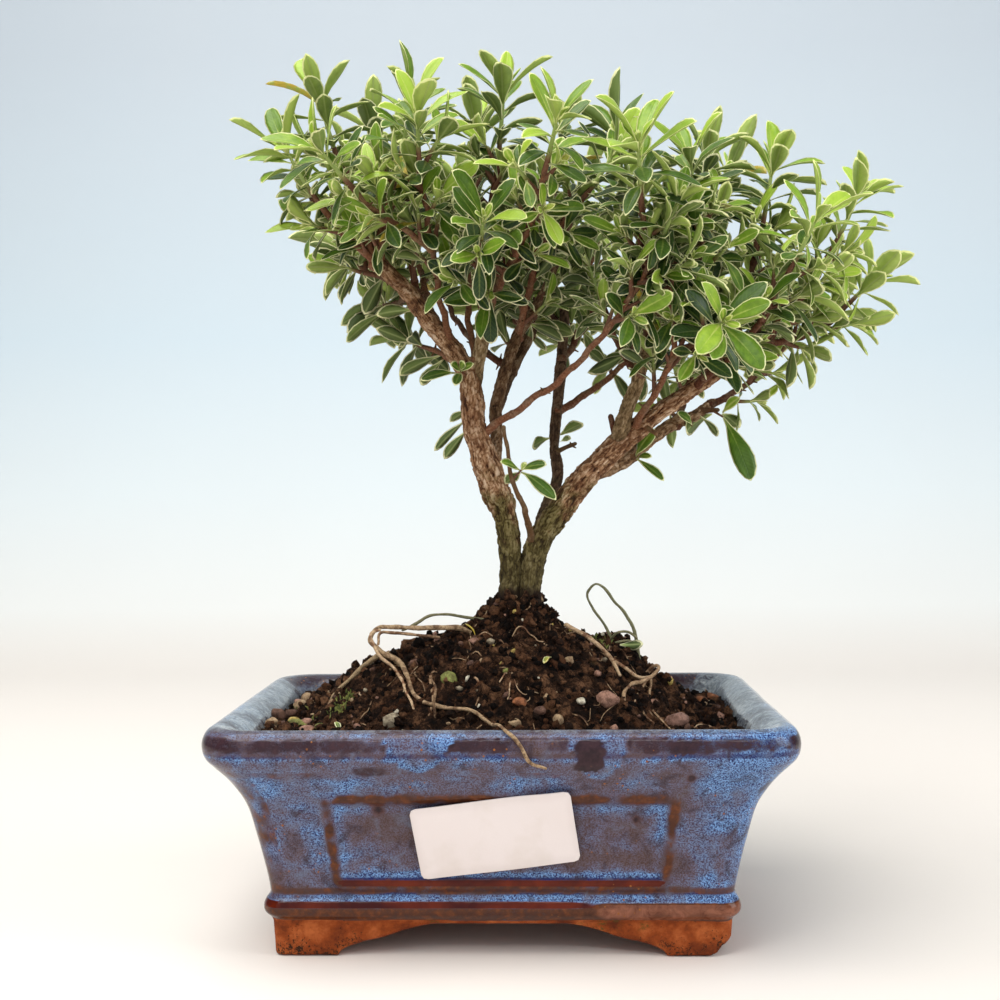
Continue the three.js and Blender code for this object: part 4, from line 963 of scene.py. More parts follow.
lift = lift + 0.75 * rough_noise(on_limb * [1, 1, 0.55] + apart, 1.5, 2, seed=17)
lift = lift + 0.7 * rough_noise(on_limb * [1, 1, 0.22] + apart + 0.5 * warp, 1.9, 2, seed=19)
amount = 0.36 * np.clip(of_limb["radius"] / 3.9, 0.3, 1.1) ** 1.2
burl = 0.40 * rough_noise(skin, 6, 2, seed=3) * np.clip(of_limb["radius"] / 4, 0.2, 1)
push = amount * lift * ease(-0.1, 0.9, margin) + burl
skin = skin + mesh_array(wood_mesh, "normal") * push[:, None]
wood_mesh.vertices.foreach_set("co", in_frame(skin).astype(np.float32).ravel())
keep_numbers(
    wood_mesh, crack=crack, plate=plate, rise=skin[:, 2], dark=LIMB_PAINTED_SHADE[of_limb["limb"]],
    olive=LIMB_OLIVE[of_limb["limb"]], hollow=np.clip(0.5 - 0.5 * lift, 0, 1), on_limb=(on_limb + apart) * MM)
print("bark points:", len(skin), "deepest and highest:", push.min().round(2), push.max().round(2))

# %% [markdown]
# ## Twigs
# A twig is thin and a little crooked, with a ring where each old pair of leaves stood, and two tiny stubs on
# some of the rings. It widens into a collar where it leaves its bough. The wobble is eased to nothing at
# both ends, so that every twig still meets its bough and its shoot.

# %% Twig bark
twig_bark = Finish("twig_bark", specular=0.22)
tone, girth = twig_bark.kept("tone", "girth")
fleck = twig_bark.noise(0.8, 4, 0.75)
red = (fleck * 0.7 + tone * 0.3).ramp(
    (0.28, 0.040, 0.012, 0.006), (0.5, 0.135, 0.046, 0.021), (0.72, 0.300, 0.135, 0.070))
grey = fleck.ramp((0.3, 0.070, 0.040, 0.024), (0.7, 0.330, 0.225, 0.140))
base = (twig_bark.noise(4).between(0.46, 0.66) * 0.6).blend(red, grey)
base = girth.between(1.15, 0.8, 0.0, 0.35).blend(base, (0.150, 0.120, 0.045))
twig_bark.feed(base, fleck.between(0.2, 0.8, 0.85, 0.55))
twig_bark.bump(fleck, 0.4, 0.8)

# %% Twigs with rings, collars and stubs
STUB_CHANCE = 0.45
rng = np.random.default_rng(7)


def twig_path(knots, number):
    """A crooked path: the smooth one plus a little noise that fades at both ends."""
    path, along = smooth_path(knots, 1.0)
    hold = ease(0, 7, along) * ease(0, 5, along[-1] - along)
    path[:, :3] += 0.75 * drift(path[:, :3], 7, [number + k for k in (100, 200, 300)], 2) * hold[:, None]
    return path, along


def ringed(radius, along, pitch):
    """The twig's own radius, with a bell every pitch and a collar that dies away near the foot."""
    ring = 0.22 * hump((along + 0.5 * pitch) % pitch, 0.5 * pitch, 0.65)
    return 0.88 * radius * (1 + ring + 0.4 * np.exp(-along / 1.6))


twig_pile = Pile()
twig_axes = []
for number, (shoot, knots) in enumerate(TWIGS + SPURS):
    path, along = twig_path(knots, number)
    pitch = 5.5 + 1.5 * rng.random()
    places, faces, distance = tube(path, 8, ringed(path[:, 3], along, pitch))
    twig_pile.add(places, faces, along=distance, tone=rng.random(), girth=path[:, 3].mean())
    twig_axes.append((shoot, path, along))
    tangent = unit(np.gradient(path[:, :3], axis=0))
    side, other = square_pair(tangent)
    for at in np.arange(pitch, along[-1] - 1, pitch):
        i = int(np.searchsorted(along, at))
        spin = rng.random() * np.pi
        if rng.random() > STUB_CHANCE:
            continue
        for angle in (spin, spin + np.pi):
            out = np.cos(angle) * side[i] + np.sin(angle) * other[i]
            tip = out * (path[i, 3] + 0.5 + 0.9 * rng.random()) + tangent[i] * 0.6
            stub = path[i, :3] + np.array([0.3, 0.65, 1.0])[:, None] * tip
            places, faces, distance = tube(stub, 5, np.array([0.42, 0.36, 0.22]))
            twig_pile.add(places, faces, along=0, tone=0.3, girth=0.4)
print("twigs:", len(twig_axes))
twig_pile.piece("twigs", twig_bark, replaces=["trunk"])

# %% [markdown]
# ## Leaves
# A serissa leaf is a small paddle: a long narrow foot, widest past its middle, folded a little along its
# midrib and bent back towards its tip, with a thin cream edge. Every leaf here is the same small grid: eight
# rows from foot to tip and six points around, five on the upper face and one under the midrib, so it is thin
# but closed. Whole shoots are made at once, each quantity an array with one entry a leaf. Each point keeps
# its distance to the margin and to the midrib in millimetres, so the cream edge is equally wide on large and
# small leaves.

# %% Many leaves at once
BLADE_U = np.array([0, 0.17, 0.36, 0.54, 0.70, 0.84, 0.94, 1.0])  # the rows, as shares of the leaf's length
# Across a leaf, from edge -1 to edge 1 on top, then the midrib below; then the face: up 1, down -1, edge 0
BLADE_ACROSS = np.array([-1, -0.5, 0, 0.5, 1, 0])
BLADE_FACE = np.array([0, 1, 1, 1, 0, -1])
BLADE_THICK = np.array([0, 0.12, 0.06, 0.12, 0, 0.26])  # millimetres from the middle surface
STALK_HALF = 0.32  # half width of a leaf's narrow foot


def blade_points(leaf):
    """Points of every leaf in the arrays: leaf, row and place around. The half width is u to one power times
    1 - u to another. The midline bends back as a circle's arc does, through curl radians in its length, and
    the two halves stand up from it by the fold angle."""
    u = BLADE_U[None, :, None]
    out = np.abs(BLADE_ACROSS)
    leaf = {key: value.reshape(len(value), 1, 1, *value.shape[1:]) for key, value in leaf.items()}
    length, foot, tip = leaf["length"], leaf["foot"], leaf["tip"]
    direction, upper = leaf["direction"], leaf["upper"]
    widest = foot / (foot + tip)
    half = 0.5 * leaf["width"] * (u / widest) ** foot * ((1 - u) / (1 - widest)) ** tip
    half = np.maximum(half, np.where(u < 0.4, STALK_HALF, 0.05))
    bend = leaf["curl"] * u
    ahead = length * np.sin(bend) / leaf["curl"]
    drop = length * (1 - np.cos(bend)) / leaf["curl"]
    side = np.cross(direction, upper)
    swing = leaf["turn"] * (u - 0.25)
    here_up = upper * np.cos(bend)[..., None] + direction * np.sin(bend)[..., None]
    here_side = side * np.cos(swing)[..., None] + here_up * np.sin(swing)[..., None]
    here_up = here_up * np.cos(swing)[..., None] - side * np.sin(swing)[..., None]
    lateral = BLADE_ACROSS * half * np.cos(leaf["fold"])
    rise = out * half * np.sin(leaf["fold"]) * (1 - 0.3 * out)
    rise = rise + 0.20 * np.sin(7 * u + leaf["phase"]) * out**2 * np.minimum(half, 1.5)
    rise = rise + BLADE_FACE * BLADE_THICK * np.clip(half / 0.8, 0.2, 1)
    middle = leaf["base"] + direction * ahead[..., None] - upper * drop[..., None]
    points = middle + here_side * lateral[..., None] + here_up * rise[..., None]
    numbers = {
        "margin": np.minimum((1 - out) * half, 0.55 * (1 - u) * length), "rib": out * half,
        "under": (1 - BLADE_FACE) / 2, "age": leaf["age"], "tone": leaf["tone"], "reach": u * length,
        "woody": np.array(-1.0),
    }
    return points, {key: np.broadcast_to(value, points.shape[:3]).ravel() for key, value in numbers.items()}


def add_leaves(pile, leaf):
    """The leaves in the arrays: their quads, and a six-sided cap at each end of each."""
    rows, ring = len(BLADE_U), len(BLADE_ACROSS)
    start = np.arange(len(leaf["length"]))[:, None, None] * (rows * ring)
    caps = np.stack([np.arange(ring)[::-1], np.arange(ring) + (rows - 1) * ring])
    points, numbers = blade_points(leaf)
    faces = [(start + grid_faces(rows, ring)).reshape(-1, 4), (start + caps).reshape(-1, ring)]
    pile.add(points, faces, **numbers)


# %% [markdown]
# ## Shoots
# On a shoot the leaves stand in opposite pairs, each pair square to the one below. Low pairs are small, lie
# flat and are old and dark; towards the tip the pairs crowd together, grow long and stand up like a vase,
# and a small pair and a bud close it. The same rule serves the shoot at a twig's end and the short side
# shoots along it, so the crown is a few hundred rosettes of one kind, each a little different, and younger
# and brighter the further out it grows; deep inside the crown older, darker leaves are partly painted shade.

# %% One shoot: a green stem with its pairs of leaves
CROWN_MIDDLE = np.array([18.0, 0.0, 188.0])
CROWN_REACH = np.array([88.0, 62.0, 58.0])


def youth(point):
    """How young a shoot's leaves are, and partly painted shade: -0.2 deep inside the crown, where older
    leaves are darker, 0.35 at its outside, more on the right.
    """
    outside = ease(0.45, 1.1, np.linalg.norm((point - CROWN_MIDDLE) / CROWN_REACH))
    return 0.55 * outside - 0.2 + 0.22 * ease(60, 105, point[0])


def shoot_leaves(base, heading, length, pairs, largest, spin):
    """Arrays for the leaves of a shoot, and its stem's knots. A leaf's direction is the stem's turned out by
    its lean, and its upper side is the stem's direction seen from there, turned a little to the light."""
    heading = unit(np.asarray(heading, float))
    east, north = square_pair(heading)
    bow = unit(np.array([0, 0, 1.0]) + 0.5 * east * np.sin(spin)) * 0.12 * length
    rank = (np.arange(pairs) + 1) / pairs
    at = 1 - (1 - rank) ** 1.45
    stem = base + heading * (at * length)[:, None] + bow * (at**2)[:, None]
    n = 2 * pairs
    pair = np.repeat(np.arange(pairs), 2)
    share = rank[pair]
    azimuth = spin + pair * np.pi / 2 + np.tile([0, np.pi], pairs) + rng.normal(0, 0.18, n)
    lean = np.radians(78 - 48 * share**1.5 + rng.normal(0, 9, n))[:, None]
    size = largest * (0.66 + 0.34 * np.sqrt(share)) * rng.uniform(0.84, 1.12, n)
    radial = np.cos(azimuth)[:, None] * east + np.sin(azimuth)[:, None] * north
    direction = np.cos(lean) * heading + np.sin(lean) * radial
    upper = np.sin(lean) * heading - np.cos(lean) * radial + [0, 0, 0.45] + rng.normal(0, 0.16, (n, 3))
    leaf = {
        "base": stem[pair] - heading * 0.2,
        "direction": direction,
        "upper": squared(upper, direction),
        "length": size,
        "width": size * rng.uniform(0.30, 0.42, n),
        "curl": rng.uniform(0.2, 1.0, n) * (1.1 - 0.5 * share),
        "fold": np.radians(rng.uniform(8, 26, n) + 14 * share**2),
        "turn": rng.normal(0, 0.28, n),
        "phase": rng.uniform(0, 6.3, n),
        "age": np.clip(1.0 - 0.72 * share**1.5 + rng.normal(0, 0.12, n) - youth(base), 0, 1),
        "tone": rng.random(n),
        "foot": rng.uniform(1.15, 1.75, n),
        "tip": rng.uniform(0.62, 0.92, n),
    }
    knots = np.vstack([base - heading * 0.8, stem, base + heading * (length + 0.5) + bow])
    thick = np.concatenate([[0.95], 0.9 - 0.45 * rank, [0.3]])
    return leaf, np.column_stack([knots, thick])


# %% [markdown]
# A shoot ends in a small standing pair with a bud inside it. Its stem is a thin tube, woody at its foot, in
# the same finish as the leaves.

# %% The bud at its tip, and its stem
def bud_leaves(tip, heading, spin, largest):
    """A small standing pair and, inside it, the bud's two tiny leaves, which close the tip of a shoot."""
    leaf, _ = shoot_leaves(tip, heading, 0.8, 2, largest, spin)
    size = np.repeat([0.50, 0.27], 2)
    lean = np.repeat([0.42, 0.14], 2)[:, None]
    radial = squared(leaf["direction"], heading)
    leaf["direction"] = unit(heading + lean * radial)
    leaf["upper"] = unit(-radial + lean * heading)
    leaf["length"], leaf["width"] = leaf["length"] * size, leaf["width"] * size * 1.1
    leaf["age"] = leaf["age"] * 0.35
    leaf["curl"] = np.full(4, 0.25)
    return leaf


def add_stem(pile, knots, woody):
    """A thin stem, woody at its foot. Far from any margin or rib, it gets none of a leaf's markings."""
    path, _ = smooth_path(knots, 1.6)
    places, faces, distance = tube(path, 5)
    woody = np.clip(woody - distance / 14, 0, 1)
    pile.add(places, faces, margin=9, rib=9, under=0, age=0, tone=0.5, reach=distance, woody=woody)


def add_shoot(pile, base, heading, length, pairs, largest, spin, woody):
    leaf, knots = shoot_leaves(base, heading, length, pairs, largest, spin)
    add_leaves(pile, leaf)
    add_stem(pile, knots, woody)
    add_leaves(pile, bud_leaves(knots[-2, :3], heading, spin, largest))


# %% Where side shoots grow
GOLDEN_TURN = 2.4  # radians from one shoot to the next around a twig


def closes(point):
    """The chance that a twig bears leaves here: none low down, all of them where the crown closes."""
    low = np.interp(point[0], [-12, -4, 30, 56], [192, 174, 170, 152])
    return ease(low, low + 22, point[2])


def side_shoots(pile, path, along, number):
    """Short shoots along a twig, from the height where the crown closes, pointing out, up and forward."""
    at = 3.0 + 3 * rng.random()
    spin = number * GOLDEN_TURN
    while at < along[-1] - 2:
        i = int(np.searchsorted(along, at))
        spin += GOLDEN_TURN
        at += rng.uniform(3.7, 6.2)
        here = path[i, :3]
        if rng.random() > closes(here):
            continue
        ahead = unit(path[min(i + 1, len(path) - 1), :3] - path[max(i - 1, 0), :3])
        east, north = square_pair(ahead)
        radial = np.cos(spin) * east + np.sin(spin) * north
        outward = unit((here - CROWN_MIDDLE) * [1, 1, 0.6])
        heading = unit(0.9 * radial + 0.45 * ahead + 0.45 * outward + [0, 0, 0.35])
        length = rng.uniform(4, 11)
        pairs = int(rng.integers(2, 5))
        largest = rng.uniform(12.5, 16.5)
        add_shoot(pile, here + heading * path[i, 3] * 0.5, heading, length, pairs, largest, spin, woody=0.9)


# %% [markdown]
# Low on the tree a few leaves stand alone: a tuft in the fork, pairs on the back stem and under the right
# bough, a large one hanging at the right, and some that show behind the left trunk. They are placed one by
# one, each from its foot to its tip, and belong to the three shortest shoots and to two on the left.

# %% The leaves that stand alone
# Shoot number; foot x, y, z; tip x, y, z; width, age, and 1 where the upper face looks to the front
LONE_LEAVES = table("""
29, 6.2 -12.5 140.1, 16.9 -22 131.4, 4.6 0.55 1
29, 6.2 -12.5 140.5, 14.2 -17 142.2, 4.2 0.6 1
29, 5.9 -12.5 140.5, -0.2 -18 143.2, 3.6 0.5 1
29, 5.9 -12 139.8, 1 -6 136.5, 4.2 0.7 -1
29, 6.2 -12.5 140.5, 7.8 -13 143.2, 2 0.3 1
29, 19 25 153.1, 26.6 20 156.8, 4.6 0.6 -1
29, 15.4 25 152.1, 9.5 21 149, 5 0.65 -1
29, 19 26 150.8, 22.8 32 152, 3 0.6 -1
44, 73.5 22 158.5, 81.4 14 137, 8 0.62 1
44, 73.3 23 159.6, 80.3 30 155.2, 5.2 0.55 -1
44, 70.5 27 159.8, 60.9 20 153.5, 7.4 0.7 -1
44, 62.9 20 155.8, 57.3 14 159.5, 4.6 0.6 1
44, 66 24 159, 71.2 18 152, 3 0.85 -1
44, 73.5 23 160, 79 21 165, 4 0.3 1
46, 43.3 12 145.1, 49.4 6 154, 5.6 0.5 1
46, 43.6 12 144.5, 48.3 6 144.9, 3 0.4 1
46, 43.3 12 144.8, 52 4 137.1, 3.4 0.5 1
8, -36.4 13 195, -50.7 6 183.2, 4.2 0.5 -1
8, -28 -4 192, -39.6 -4 190.6, 5 0.7 -1
9, -19.8 5 178.4, -33.1 2 171.9, 4.8 0.7 -1
9, -19 5 177.1, -26.1 3 168.7, 4.2 0.75 -1
9, -14 -9 171.4, -24.9 -14 168.9, 4.4 0.7 1
9, -12.5 -9 171.7, -15.7 -12 174, 3.4 0.5 1
9, -12.5 -9 172, -11.3 -12 174.9, 3 0.45 1
9, -12.5 -9 171.7, -8.1 -14 173.7, 3.4 0.5 1
9, -12.5 -9 171.4, -14 -15 166.9, 3.6 0.6 1
9, -11.2 -1 157.3, -21.8 0 147.3, 3.4 0.85 -1
9, -11 -1 154, -18.7 1 144.7, 4 0.8 -1
9, -11.2 -1 160.1, -17 5 156.8, 3.2 0.8 -1
""")
# Shoot number, and both ends of each green stalk that joins some of them to the wood: x, y, z and radius
LONE_STALKS = table("""
29, 3.8 -12.2 138.1 0.5, 6.3 -12.6 140.8 0.3
44, 70.5 24.5 160.8 0.5, 73.9 22 158.2 0.3
44, 63.5 24.5 158.5 0.5, 62.7 19.6 155.6 0.3
46, 43.4 14.5 147.3 0.5, 43.3 11.6 144.6 0.3
9, -10.5 -5 170.6 0.5, -12.6 -9.4 171.9 0.3
""")


# %% [markdown]
# Each of these leaves is given by its two ends, so the direction in which it starts and its length are
# worked out from the arc between them.

# %% A leaf from its foot to its tip
def lone_leaves(rows):
    """A leaf for each row. The arc through curl radians is longer than its chord, and starts in the chord's
    direction turned up by half the curl."""
    n = len(rows)
    base, tip, rest = (np.array([row[k] for row in rows]) for k in (1, 2, 3))
    chord = np.linalg.norm(tip - base, axis=1)
    ahead = (tip - base) / chord[:, None]
    upper = squared(rest[:, 2:] * [0, -1.0, 0] + [0, 0, 0.6], ahead)
    curl = rng.uniform(0.5, 1.1, n)
    half = (curl / 2)[:, None]
    return {
        "base": base,
        "direction": np.cos(half) * ahead + np.sin(half) * upper,
        "upper": np.cos(half) * upper - np.sin(half) * ahead,
        "length": chord * (curl / 2) / np.sin(curl / 2),
        "width": rest[:, 0],
        "curl": curl,
        "fold": np.radians(rng.uniform(8, 22, n)),
        "turn": rng.normal(0, 0.15, n),
        "phase": rng.uniform(0, 6.3, n),
        "age": rest[:, 1],
        "tone": rng.uniform(0, 0.9, n),
        "foot": rng.uniform(1.2, 1.6, n),
        "tip": rng.uniform(0.65, 0.85, n),
    }


# %% [markdown]
# ## The colour of a leaf
# Age runs from the yellow-green of a fresh tip to the deep green of an old leaf, and no two leaves are quite
# alike. The edge is cream, a pale feather runs up a young leaf's middle, the underside is a matt olive, and
# the upper side has a wax shine.

# %% Leaves and green stems
leafy = Finish("variegated_leaf", specular=0.3)
age, tone, under, woody = leafy.kept("age", "tone", "under", "woody")
margin, rib, reach = leafy.kept("margin", "rib", "reach")
cloud = leafy.noise(3.0, 3, 0.6)
fine = leafy.noise(0.6, 3, 0.7)
years = age + cloud.about(0.4) + tone.about(0.22)
green = years.ramp(
    (0.02, 0.350, 0.500, 0.050), (0.25, 0.190, 0.325, 0.022), (0.50, 0.069, 0.144, 0.009),
    (0.75, 0.024, 0.061, 0.007), (1.00, 0.012, 0.034, 0.007))
veins = reach.maths("SINE", (reach - rib) * 4.2)
green = (veins.between(0.35, 1.0) * 0.07).blend(green, (0.24, 0.36, 0.05))
feather = rib + (reach * 0.035 + fine.about(0.5))
feather = feather.between(0.72, 0.24) * years.between(0.60, 0.15, 0.20, 0.90)
green = feather.blend(green, (0.500, 0.580, 0.130))
below = years.ramp((0.05, 0.350, 0.460, 0.095), (0.50, 0.150, 0.212, 0.050), (1.00, 0.078, 0.115, 0.034))
below = (rib.between(0.45, 0.10) * 0.5).blend(below, (0.36, 0.42, 0.16))
green = under.between(0.44, 0.56).blend(green, below)
green = reach.between(3.2, 0.8, 0.0, 0.75).blend(green, (0.330, 0.430, 0.110))
cream = years.blend((0.76, 0.80, 0.33), (0.78, 0.76, 0.47))
base = (margin + fine.about(0.14)).between(0.42, 0.28).blend(green, cream)
fading = tone.between(0.990, 0.994) * cloud.between(0.35, 0.6)
base = fading.blend(base, (0.55, 0.40, 0.05))
stem_bark = fine.ramp((0.25, 0.085, 0.030, 0.016), (0.75, 0.220, 0.100, 0.055))
is_stem = woody.between(-0.6, -0.4)
base = is_stem.blend(base, woody.between(0.15, 0.5).blend((0.300, 0.380, 0.110), stem_bark))
leafy.feed(base, under.between(0.44, 0.56, 0.36, 0.66) + fine.about(0.25) + is_stem * 0.2)
leafy.bump(veins * 0.10 + fine * 0.35 + rib.between(0.0, 0.35, 0.0, 0.8), 0.12, 0.7)

# %% Grow the shoots
SHORTEST_SHOOT = 12  # millimetres; below this the leaves stand alone
CROWDED = 0.80  # how much of a shoot's length its green stem takes; its leaves fill the rest
starts = [(shoot, *smooth_path(knots, 0.7)) for shoot, knots in TRUNKS + BOUGHS if shoot]
starts += [start for start in twig_axes if start[0]]
for number, (length, path, along) in enumerate(starts):
    pile = Pile()
    here = number + 1
    if length > SHORTEST_SHOOT:
        length = CROWDED * length
        heading = unit(path[-1, :3] - path[-3, :3])
        pairs = int(round(3.4 + length / 4.2))
        largest = rng.uniform(16.0, 19.5)
        add_shoot(pile, path[-1, :3], heading, length, pairs, largest, number * GOLDEN_TURN, woody=0.8)
        side_shoots(pile, path, along, number)
    lone = [row for row in LONE_LEAVES if row[0][0] == here]
    if lone:
        add_leaves(pile, lone_leaves(lone))
    for (shoot,), foot, tip in LONE_STALKS:
        if shoot == here:
            add_stem(pile, [foot, tip], 0.9)
    name = "leafy_shoot_" + str(here).zfill(2)
    pile.piece(name + "_leaves", leafy, replaces=[name])
print("shoots:", len(starts))

# %% [markdown]
# ## The soil
# The tree stands on a mound of dark crumbly soil that climbs towards the trunks and falls to the rim. One
# closed skin gives the mound and the soil's body under it, with crumbs of two sizes pushed out of it. Loose
# crumbs, grit and stones lie on it as separate small solids, because a skin alone can't have the deep
# shadows between grains.

# %% The mound's height
def mound_height(x, y):
    """63 at the rim; a dome 28 high, flatter to the left; a shoulder and a hollow at the right; a steep cone
    at the trunks, with a small swell beside it."""
    reach = np.where(x < 4, 72, 60)
    away = np.hypot((x - 4) / reach, (y - 2) / 52)
    height = 63 + 28 * np.maximum(0, 1 - away**2) + 4 * np.exp(-((away / 0.24) ** 2))
    height = height + 4 * np.exp(-((x - 38) ** 2 + (y - 6) ** 2) / 64)
    height = height - 2.2 * np.exp(-((x - 41) ** 2 + (y + 19) ** 2) / 110)
    foot = np.hypot(x - 5.2, 1.1 * y)
    return height + 6.5 * np.exp(-((foot / 11.5) ** 2.6)) + 1.8 * np.exp(-((x - 12) ** 2 + (y - 1) ** 2) / 14)


def crumbled(x, y):
    """The mound with its relief: slow swells, crumbs of 3.4 and 1.6 millimetres, and fine grain."""
    flat = np.stack([x, y, 0 * x], -1)
    warp = drift(flat, 3, (61, 62, 63))
    big, _, tall = lumps(flat + 0.6 * warp, 3.4, seed=64)
    small, _, _ = lumps(flat + 0.4 * warp, 1.6, seed=65)
    relief = 1.5 * rough_noise(flat, 13, 2, seed=66) + 1.1 * rough_noise(flat, 2.6, 3, seed=67)
    relief = relief + 1.9 * tall * np.maximum(0, 1 - (1.25 * big) ** 2)
    relief = relief + 0.9 * np.maximum(0, 1 - (1.3 * small) ** 2)
    return mound_height(x, y) + relief - 1.3


# %% [markdown]
# Potting soil is nearly black where it is moist and grey-brown where it has dried on top. Pale specks are
# grit, and a few patches near the rim carry a yellow-green bloom.

# %% Soil finish
earth = Finish("crumbly_soil", 0.95, 0.12)
(tone,) = earth.kept("tone")
crumb = earth.noise(1.3, 5, 0.85, warp=0.5)
value = crumb * 1.05 + tone.about(0.42) + 0.02
wet = value.ramp((0.34, 0.0024, 0.0012, 0.0008), (0.55, 0.0200, 0.0080, 0.0040), (0.76, 0.135, 0.052, 0.023))
dry = value.ramp((0.34, 0.0060, 0.0026, 0.0014), (0.55, 0.058, 0.026, 0.013), (0.76, 0.330, 0.160, 0.080))
base = earth.noise(9, 4).between(0.35, 0.65).blend(wet, dry)
grit = earth.specks(2.3).between(0.17, 0.10) * earth.noise(5, 2).between(0.50, 0.62)
base = (grit * 0.8).blend(base, (0.26, 0.17, 0.11))
base = (earth.noise(12, 4, 0.6).between(0.66, 0.78) * 0.35).blend(base, (0.095, 0.085, 0.022))
earth.feed(base, crumb.between(0.2, 0.8, 0.98, 0.72))
earth.bump(crumb * 1.2 + earth.noise(0.45, 4, 0.8) * 0.5, 1.0, 1.6)

# %% The soil's skin
SOIL_HALF, SOIL_DEEP, SOIL_CORNER = 72.9, 50.4, 8.0
SOIL_COLUMNS = 410
SOIL_MIDDLE = [4, 2]
SOIL_FLOOR = 15.8
# Half width and height of each ring of the body under the mound
SOIL_LEVELS = [(58.6, SOIL_FLOOR), (61.6, 20), (66.1, 35), (69.6, 50), (71.6, 58)]


def soil_ring(half, deep, corner, count):
    """Points of a rounded rectangle, evenly spaced by length, counter-clockwise."""
    turn = np.linspace(0, np.pi / 2, 9)
    quarter = np.stack([half - corner + corner * np.cos(turn), deep - corner + corner * np.sin(turn)], -1)
    back = quarter[::-1]
    ring = np.vstack([quarter, back * [-1, 1], -quarter, back * [1, -1], quarter[:1]])
    length = length_along(ring)
    even = np.arange(count) * length[-1] / count
    return np.stack([np.interp(even, length, column) for column in ring.T], -1)


rows = [
    np.column_stack([soil_ring(half, half - DEPTH_LESS, 6, SOIL_COLUMNS), np.full(SOIL_COLUMNS, level)])
    for half, level in SOIL_LEVELS
]
edge = soil_ring(SOIL_HALF, SOIL_DEEP, SOIL_CORNER, SOIL_COLUMNS)
share = np.concatenate([np.linspace(1, 0.12, 112), [0.08, 0.04]])[:, None, None]
top = SOIL_MIDDLE + share * (edge - SOIL_MIDDLE)
height = crumbled(top[..., 0], top[..., 1]) - 0.8 * (share[..., 0] > 0.985)
points = np.array(rows + list(np.concatenate([top, height[..., None]], -1)))
points[len(SOIL_LEVELS) :] += 0.35 * drift(points[len(SOIL_LEVELS) :], 1.3, (71, 72, 73)) * (share < 0.97)
poles = [[0, 0, SOIL_FLOOR], [*SOIL_MIDDLE, points[-1, :, 2].mean()]]
faces = closed_faces(len(points), SOIL_COLUMNS)
points = np.vstack([points.reshape(-1, 3), poles])
soil_pile = Pile()
soil_pile.add(points, faces, tone=0.5 + 0.5 * soft_noise(points, 2.2, seed=80))
soil_pile.piece("soil_mound", earth, replaces=["soil"])

# %% [markdown]
# ## Crumbs, grit and stones
# A crumb is an eight-sided lump divided once, with its corners pushed in and out by chance. About four
# thousand are laid down at once: one small shape is copied by array broadcasting, turned, stretched and set
# on the mound. Each stays tiny in faces, because there are so many.

# %% A small lump, and many of them
def lump_shape():
    """An octahedron with each edge halved and pushed out to the unit ball: 18 points, 32 faces."""
    corners = np.array([[1, 0, 0], [0, 1, 0], [-1, 0, 0], [0, -1, 0], [0, 0, 1], [0, 0, -1]], float)
    faces = [(0, 1, 4), (1, 2, 4), (2, 3, 4), (3, 0, 4), (1, 0, 5), (2, 1, 5), (3, 2, 5), (0, 3, 5)]
    points, halves, small = list(corners), {}, []
    for face in faces:
        mid = []
        for a, b in zip(face, face[1:] + face[:1]):
            key = (min(a, b), max(a, b))
            if key not in halves:
                halves[key] = len(points)
                points.append(unit(corners[a] + corners[b]))
            mid.append(halves[key])
        a, b, c = face
        small += [(a, mid[0], mid[2]), (mid[0], b, mid[1]), (mid[2], mid[1], c), tuple(mid)]
    return np.array(points), np.array(small)


LUMP_POINTS, LUMP_FACES = lump_shape()


def random_turns(count):
    """Random rotations: two random directions made square to each other, and their cross product."""
    a = unit(rng.normal(size=(count, 3)))
    b = squared(rng.normal(size=(count, 3)), a)
    return np.stack([a, b, np.cross(a, b)], 1)


def scatter_lumps(pile, centres, sizes, rough=0.34, flat=0.5, **numbers):
    """Lumps with these centres and sizes, each stretched, turned and dented in its own way."""
    count, corners = len(centres), len(LUMP_POINTS)
    shape = LUMP_POINTS * (1 + rough * rng.uniform(-1, 1, (count, corners, 1)))
    shape = shape * rng.uniform(flat, 1.1, (count, 1, 3)) @ random_turns(count)
    faces = (np.arange(count)[:, None, None] * corners + LUMP_FACES).reshape(-1, 3)
    spread = {key: np.repeat(value, corners, axis=0) for key, value in numbers.items()}
    pile.add(centres[:, None] + shape * sizes[:, None, None], [faces], **spread)


def on_soil(count, reach=0.97):
    """Random places on the mound, as many as count, spread evenly over its plan but not in its corners."""
    x = rng.uniform(-SOIL_HALF, SOIL_HALF, 2 * count) * reach
    y = rng.uniform(-SOIL_DEEP, SOIL_DEEP, 2 * count) * reach
    past = [np.maximum(np.abs(at) - limit + 9, 0) for at, limit in ((x, SOIL_HALF), (y, SOIL_DEEP))]
    inside = past[0] ** 2 + past[1] ** 2 < 70  # within corners rounded at a little under 9 millimetres
    x, y = x[inside][:count], y[inside][:count]
    return np.stack([x, y, crumbled(x, y)], -1)


